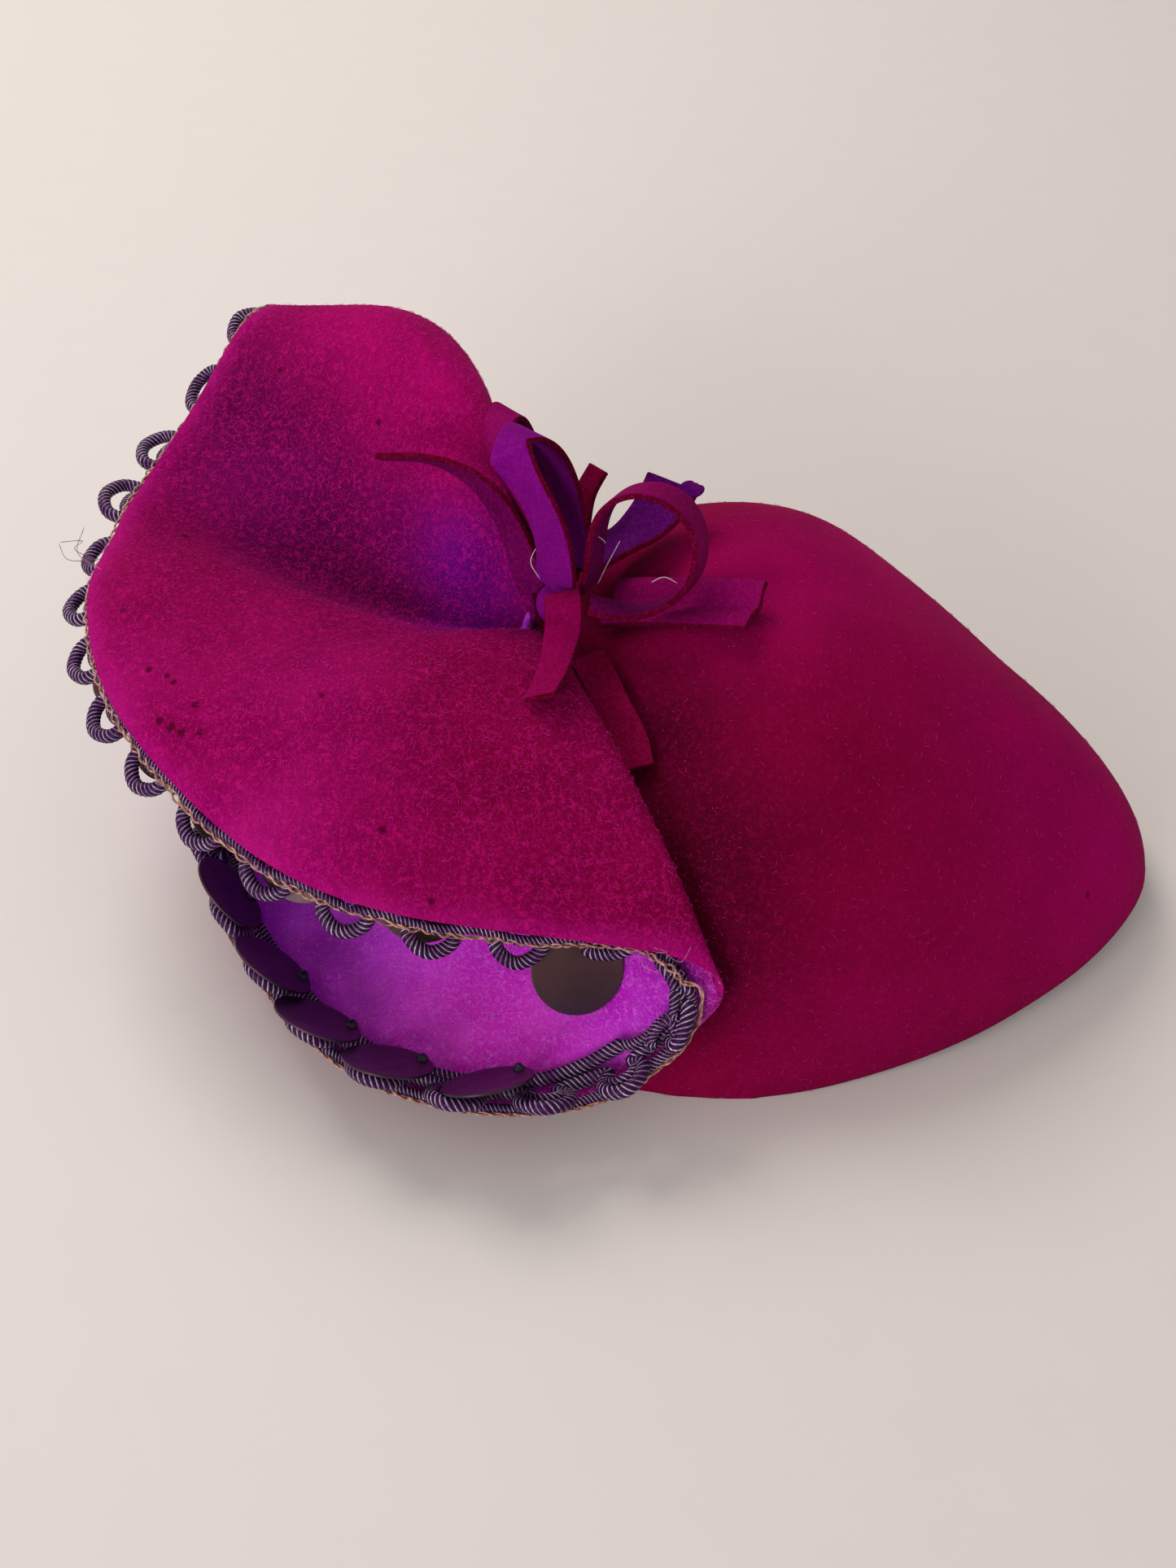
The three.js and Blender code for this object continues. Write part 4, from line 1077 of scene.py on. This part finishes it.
bow = {
    "seamAngle": 80,
    "edgeCrease": 0.75,
    "broadShare": 0.3,
    "strips": {
        "bow_loop_tall": ("outer", "bowViolet", "bowViolet"),
        "bow_loop_back": ("outer", "wine", "darkViolet"),
        "bow_ring": ("outer", "wine", "plum"),
        "bow_tail_left": ("top", "crimson", "plum"),
        "bow_tail_front": ("top", "magenta", "wine"),
        "bow_tail_right": ("top", "wine", "plum"),
        "bow_tail_scalloped": ("top", "darkViolet", "darkViolet"),
        "bow_tail_back": ("top", "crimson", "wine"),
        "neck_band": ("top", "crimson", "bowViolet"),
    },
    "edgeTint": "deepCrimson",
    "creases": {"bow_tail_right": (1.6, 2.2)},
    "scallops": {
        "bow_tail_scalloped": {"count": 3, "radius": 2.1, "depth": 1.6, "away": (0.3, 0.6, 0.7)},
    },
    "scallopEnd": 1.2,
    "scallopOut": 0.4,
    "knot": (9.9, 11.9, 8.9),
}


# The long, broad and thick directions of a strip, with its middle
def directionsOf(strip):
    places = placesOf(strip)
    middle = places.mean(axis=0)
    _, _, axes = np.linalg.svd(places - middle, full_matrices=False)
    return middle, axes


# A soft valley of this depth and width down the middle of a strip, in millimetres
def foldAlong(strip, depth, width):
    places = placesOf(strip)
    middle, (_, broad, thick) = directionsOf(strip)
    if thick[2] < 0:
        thick = -thick
    across = (places - middle) @ broad / mm
    sunk = depth * np.exp(-((across / width) ** 2))
    places = places - np.outer(sunk * mm, thick).astype(np.float32)
    strip.data.vertices.foreach_set("co", places.ravel())
    strip.data.update()


# Rounded lobes along the end of a strip that lies furthest this way
def scallopEnd(strip, count, radius, depth, away):
    places = placesOf(strip)
    middle, (long, broad, thick) = directionsOf(strip)
    if long @ np.array(away) < 0:
        long = -long
    far = (places - middle) @ long
    end = places[far > far.max() - bow["scallopEnd"] * mm]
    spread = (end - end.mean(axis=0)) @ broad
    turned = Vector(thick).cross(Vector(long))
    lay = Matrix((Vector(long), turned, Vector(thick))).transposed().to_4x4()
    lobes = []
    for k in range(count):
        across = spread.min() + (spread.max() - spread.min()) * (k + 0.5) / count
        at = Vector(end.mean(axis=0) + broad * across) + Vector(long) * (bow["scallopOut"] * mm)
        deselectAll()
        bpy.ops.mesh.primitive_uv_sphere_add(segments=20, ring_count=12, radius=radius * mm)
        lobe = bpy.context.object
        lobe.data.transform(Matrix.Diagonal((1, 1, depth / radius / 2, 1)))
        lobe.data.transform(Matrix.Translation(at) @ lay)
        lobe.data.materials.append(strip.data.materials[0])
        bpy.ops.object.shade_smooth()
        lobes.append(lobe)
    takeUp(strip)
    for lobe in lobes:
        lobe.select_set(True)
    bpy.ops.object.join()


stripLook = dict(crimsonLook, pricks=(), napShare=0.5, napScales=(700, 1000))
violetStripLook = dict(stripLook, napTint=(0.36, 0.02, 0.42))
stripFelts = {}
for tint in ("bowViolet", "plum", "wine", "crimson", "magenta", "darkViolet", "deepCrimson"):
    look = violetStripLook if tint in ("bowViolet", "darkViolet") else stripLook
    look = dict(look, tint=tints[tint])
    stripFelts[tint] = feltMaterial(tint + "Strip", None, look)

for node, (seenFrom, first, second) in bow["strips"].items():
    words = node.split("_")
    strip = copyOfNode(node, words[0] + "".join(word.capitalize() for word in words[1:]))
    weld(strip, bow["seamAngle"])
    sides = sidesOf(strip)
    for tint in (first, second, bow["edgeTint"]):
        strip.data.materials.append(stripFelts[tint])
    middle = sum((v.co for v in strip.data.vertices), Vector()) / len(strip.data.vertices)
    if seenFrom == "top":
        middle = middle - Vector((0, 0, 1))
    areas = [areaOf(strip, group) for group in sides]
    broad = [group for group, area in zip(sides, areas) if area > bow["broadShare"] * areas[0]]
    facings = [meanFacing(strip, group, middle) / area for group, area in zip(broad, areas)]
    halfway = (max(facings) + min(facings)) / 2
    for p in strip.data.polygons:
        p.material_index = 2
    for group, facing in zip(broad, facings):
        for i in group:
            strip.data.polygons[i].material_index = 0 if facing > halfway else 1
    creaseBetween(strip, sides, bow["edgeCrease"])
    smoothOut(strip, 3)
    if node in bow["creases"]:
        foldAlong(strip, *bow["creases"][node])
    if node in bow["scallops"]:
        scallopEnd(strip, **bow["scallops"][node])
    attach(strip, "root")
    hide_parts(node)

deselectAll()
bpy.ops.mesh.primitive_uv_sphere_add(segments=24, ring_count=16, radius=0.5)
knot = bpy.context.object
knot.name = "bowKnot"
bpy.ops.object.mode_set(mode="EDIT")
bpy.ops.transform.resize(value=[side * mm for side in bow["knot"]])
bpy.ops.object.mode_set(mode="OBJECT")
lo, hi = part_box("bow_knot")
knot.data.transform(Matrix.Translation((Vector(lo) + Vector(hi)) / 2))
knot.data.materials.append(stripFelts["bowViolet"])
smoothOut(knot, 1)
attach(knot, "root")
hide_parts("bow_knot")
print("bow")

# Loose nap: short bent spindles stand a little off the felt. Lengths, width and lowest place
# are in millimetres, and the rest are shares of a fibre's length
nap = {
    "seed": 11, "counts": {"crown": 6000, "brim": 32000}, "length": (0.9, 2.2),
    "width": 0.1, "rise": 0.17, "leastRise": 0.2, "curl": 0.8, "elbow": 0.5, "tip": 0.9,
    "swerve": 0.6, "lowest": 0.2, "tints": ((0.66, 0.02, 0.28), (0.8, 0.26, 0.85)),
}


def napFibres(piece, count, chance):
    mesh = piece.data
    loops = np.empty(len(mesh.loops), dtype=np.int32)
    mesh.loops.foreach_get("vertex_index", loops)
    starts, kinds = (np.empty(len(mesh.polygons), dtype=np.int32) for _ in range(2))
    areas = np.empty(len(mesh.polygons), dtype=np.float32)
    mesh.polygons.foreach_get("loop_start", starts)
    mesh.polygons.foreach_get("area", areas)
    mesh.polygons.foreach_get("material_index", kinds)
    normals = np.empty(len(mesh.polygons) * 3, dtype=np.float32)
    mesh.polygons.foreach_get("normal", normals)
    normals = normals.reshape(-1, 3)
    places = placesOf(piece)
    chosen = chance.choice(len(areas), count, p=areas / areas.sum())
    a, b, c = (places[loops[starts[chosen] + k]] for k in (0, 1, 2))
    u, v = chance.random((2, count, 1))
    root = a + (b - a) * u + (c - b) * (u * v)
    up = normals[chosen]
    lay = np.cross(up, chance.normal(size=(count, 3)))
    lay /= np.linalg.norm(lay, axis=1)[:, None]
    side = np.cross(up, lay)
    length = chance.uniform(*nap["length"], (count, 1)) * mm
    bend = chance.uniform(-1, 1, (count, 1)) * nap["curl"]
    rise = chance.uniform(nap["leastRise"], 1, (count, 1)) * nap["rise"]
    heart = root + length * (lay * nap["elbow"] + up * rise)
    tip = root + length * (lay * nap["tip"] + side * bend * nap["swerve"] + up * rise)
    onward = (tip - root) / np.linalg.norm(tip - root, axis=1)[:, None]
    across = np.cross(onward, up)
    across /= np.linalg.norm(across, axis=1)[:, None]
    over = np.cross(onward, across)
    ring = []
    for turn in (0, 2 * math.pi / 3, 4 * math.pi / 3):
        spoke = across * math.cos(turn) + over * math.sin(turn)
        ring.append(heart + spoke * (nap["width"] / 2 * mm))
    corners = np.stack([root, *ring, tip], axis=1).reshape(-1, 3)
    return np.maximum(corners, (-1, -1, nap["lowest"] * mm)), kinds[chosen]


chance = np.random.default_rng(nap["seed"])
fibreMaterials = []
for name, tint in zip(("crimsonNapFibre", "violetNapFibre"), nap["tints"]):
    made, _, shader = startMaterial(name, Roughness=0.7)
    shader.inputs["Base Color"].default_value = (*tint, 1)
    shader.inputs["Specular IOR Level"].default_value = 0.1
    fibreMaterials.append(made)
# Five corners a fibre: its root, three about its elbow, and its tip
spindle = np.array([(0, 2, 1), (0, 3, 2), (0, 1, 3), (4, 1, 2), (4, 2, 3), (4, 3, 1)])
for name, count in nap["counts"].items():
    corners, kinds = napFibres(bpy.data.objects[name + "Felt"], count, chance)
    faces = (spindle[None, :, :] + 5 * np.arange(count)[:, None, None]).reshape(-1, 3)
    feltNap = meshFrom(name + "Nap", corners, faces.tolist(), fibreMaterials[0])
    feltNap.data.materials.append(fibreMaterials[1])
    feltNap.data.polygons.foreach_set("material_index", np.repeat(kinds, len(spindle)))
    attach(feltNap, "root")

# Loose threads, in the millimetres of the scene: clear nylon about the bow, frayed ends of gimp
threads = {
    "clearNylon": {
        "diameter": 0.18, "lines": (
            ((-5, -2, 92), (-2.5, 0, 88), (-3.5, 4, 84)), ((1, 8, 82), (-2, 3, 79), (-4, -1, 77)),
            ((8, 0, 76.5), (11, 1, 77.2), (14, 0, 76.2)),
            ((-17, -3, 80), (-19, -2, 84), (-17.5, 0, 87)),
        ),
    },
    "frayedEnds": {
        "diameter": 0.16, "lines": (
            ((-120, 12, 73), (-124, 10, 78), (-121, 8, 82), (-125, 5, 84)),
            ((-119, 10, 72), (-125, 14, 74), (-123, 17, 79)),
            ((-120, 14, 72), (-126, 9, 76), (-128, 12, 78)),
            ((8, -79, 42), (10, -82, 46), (7, -84, 50)),
            ((10, -79, 41.5), (13, -83, 44), (15, -82, 48)),
            ((6, -79, 41.5), (5, -83, 43), (8, -86, 44)),
        ),
    },
}
threadLooks = {
    "clearNylon": twoToneMaterial("clearNylon", (0.6, 0.55, 0.6), (0.85, 0.8, 0.85), 0.2),
    "frayedEnds": twoToneMaterial("frayedEnds", (0.12, 0.04, 0.12), (0.5, 0.2, 0.3), 0.5),
}
threadShape = {"sides": 5, "step": 0.5, "wrapPitch": 3, "wraps": 1, "relief": 0.0}
threadFacing = Vector((0.3, -0.6, 0.7))
for name, thread in threads.items():
    runs = []
    for line in thread["lines"]:
        run = [(Vector(place) - hat["shift"], threadFacing) for place in line]
        runs.append((run, False))
    strands = rope(name, runs, threadLooks[name], dict(threadShape, diameter=thread["diameter"]))
    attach(strands, "root")
print("nap and loose threads")
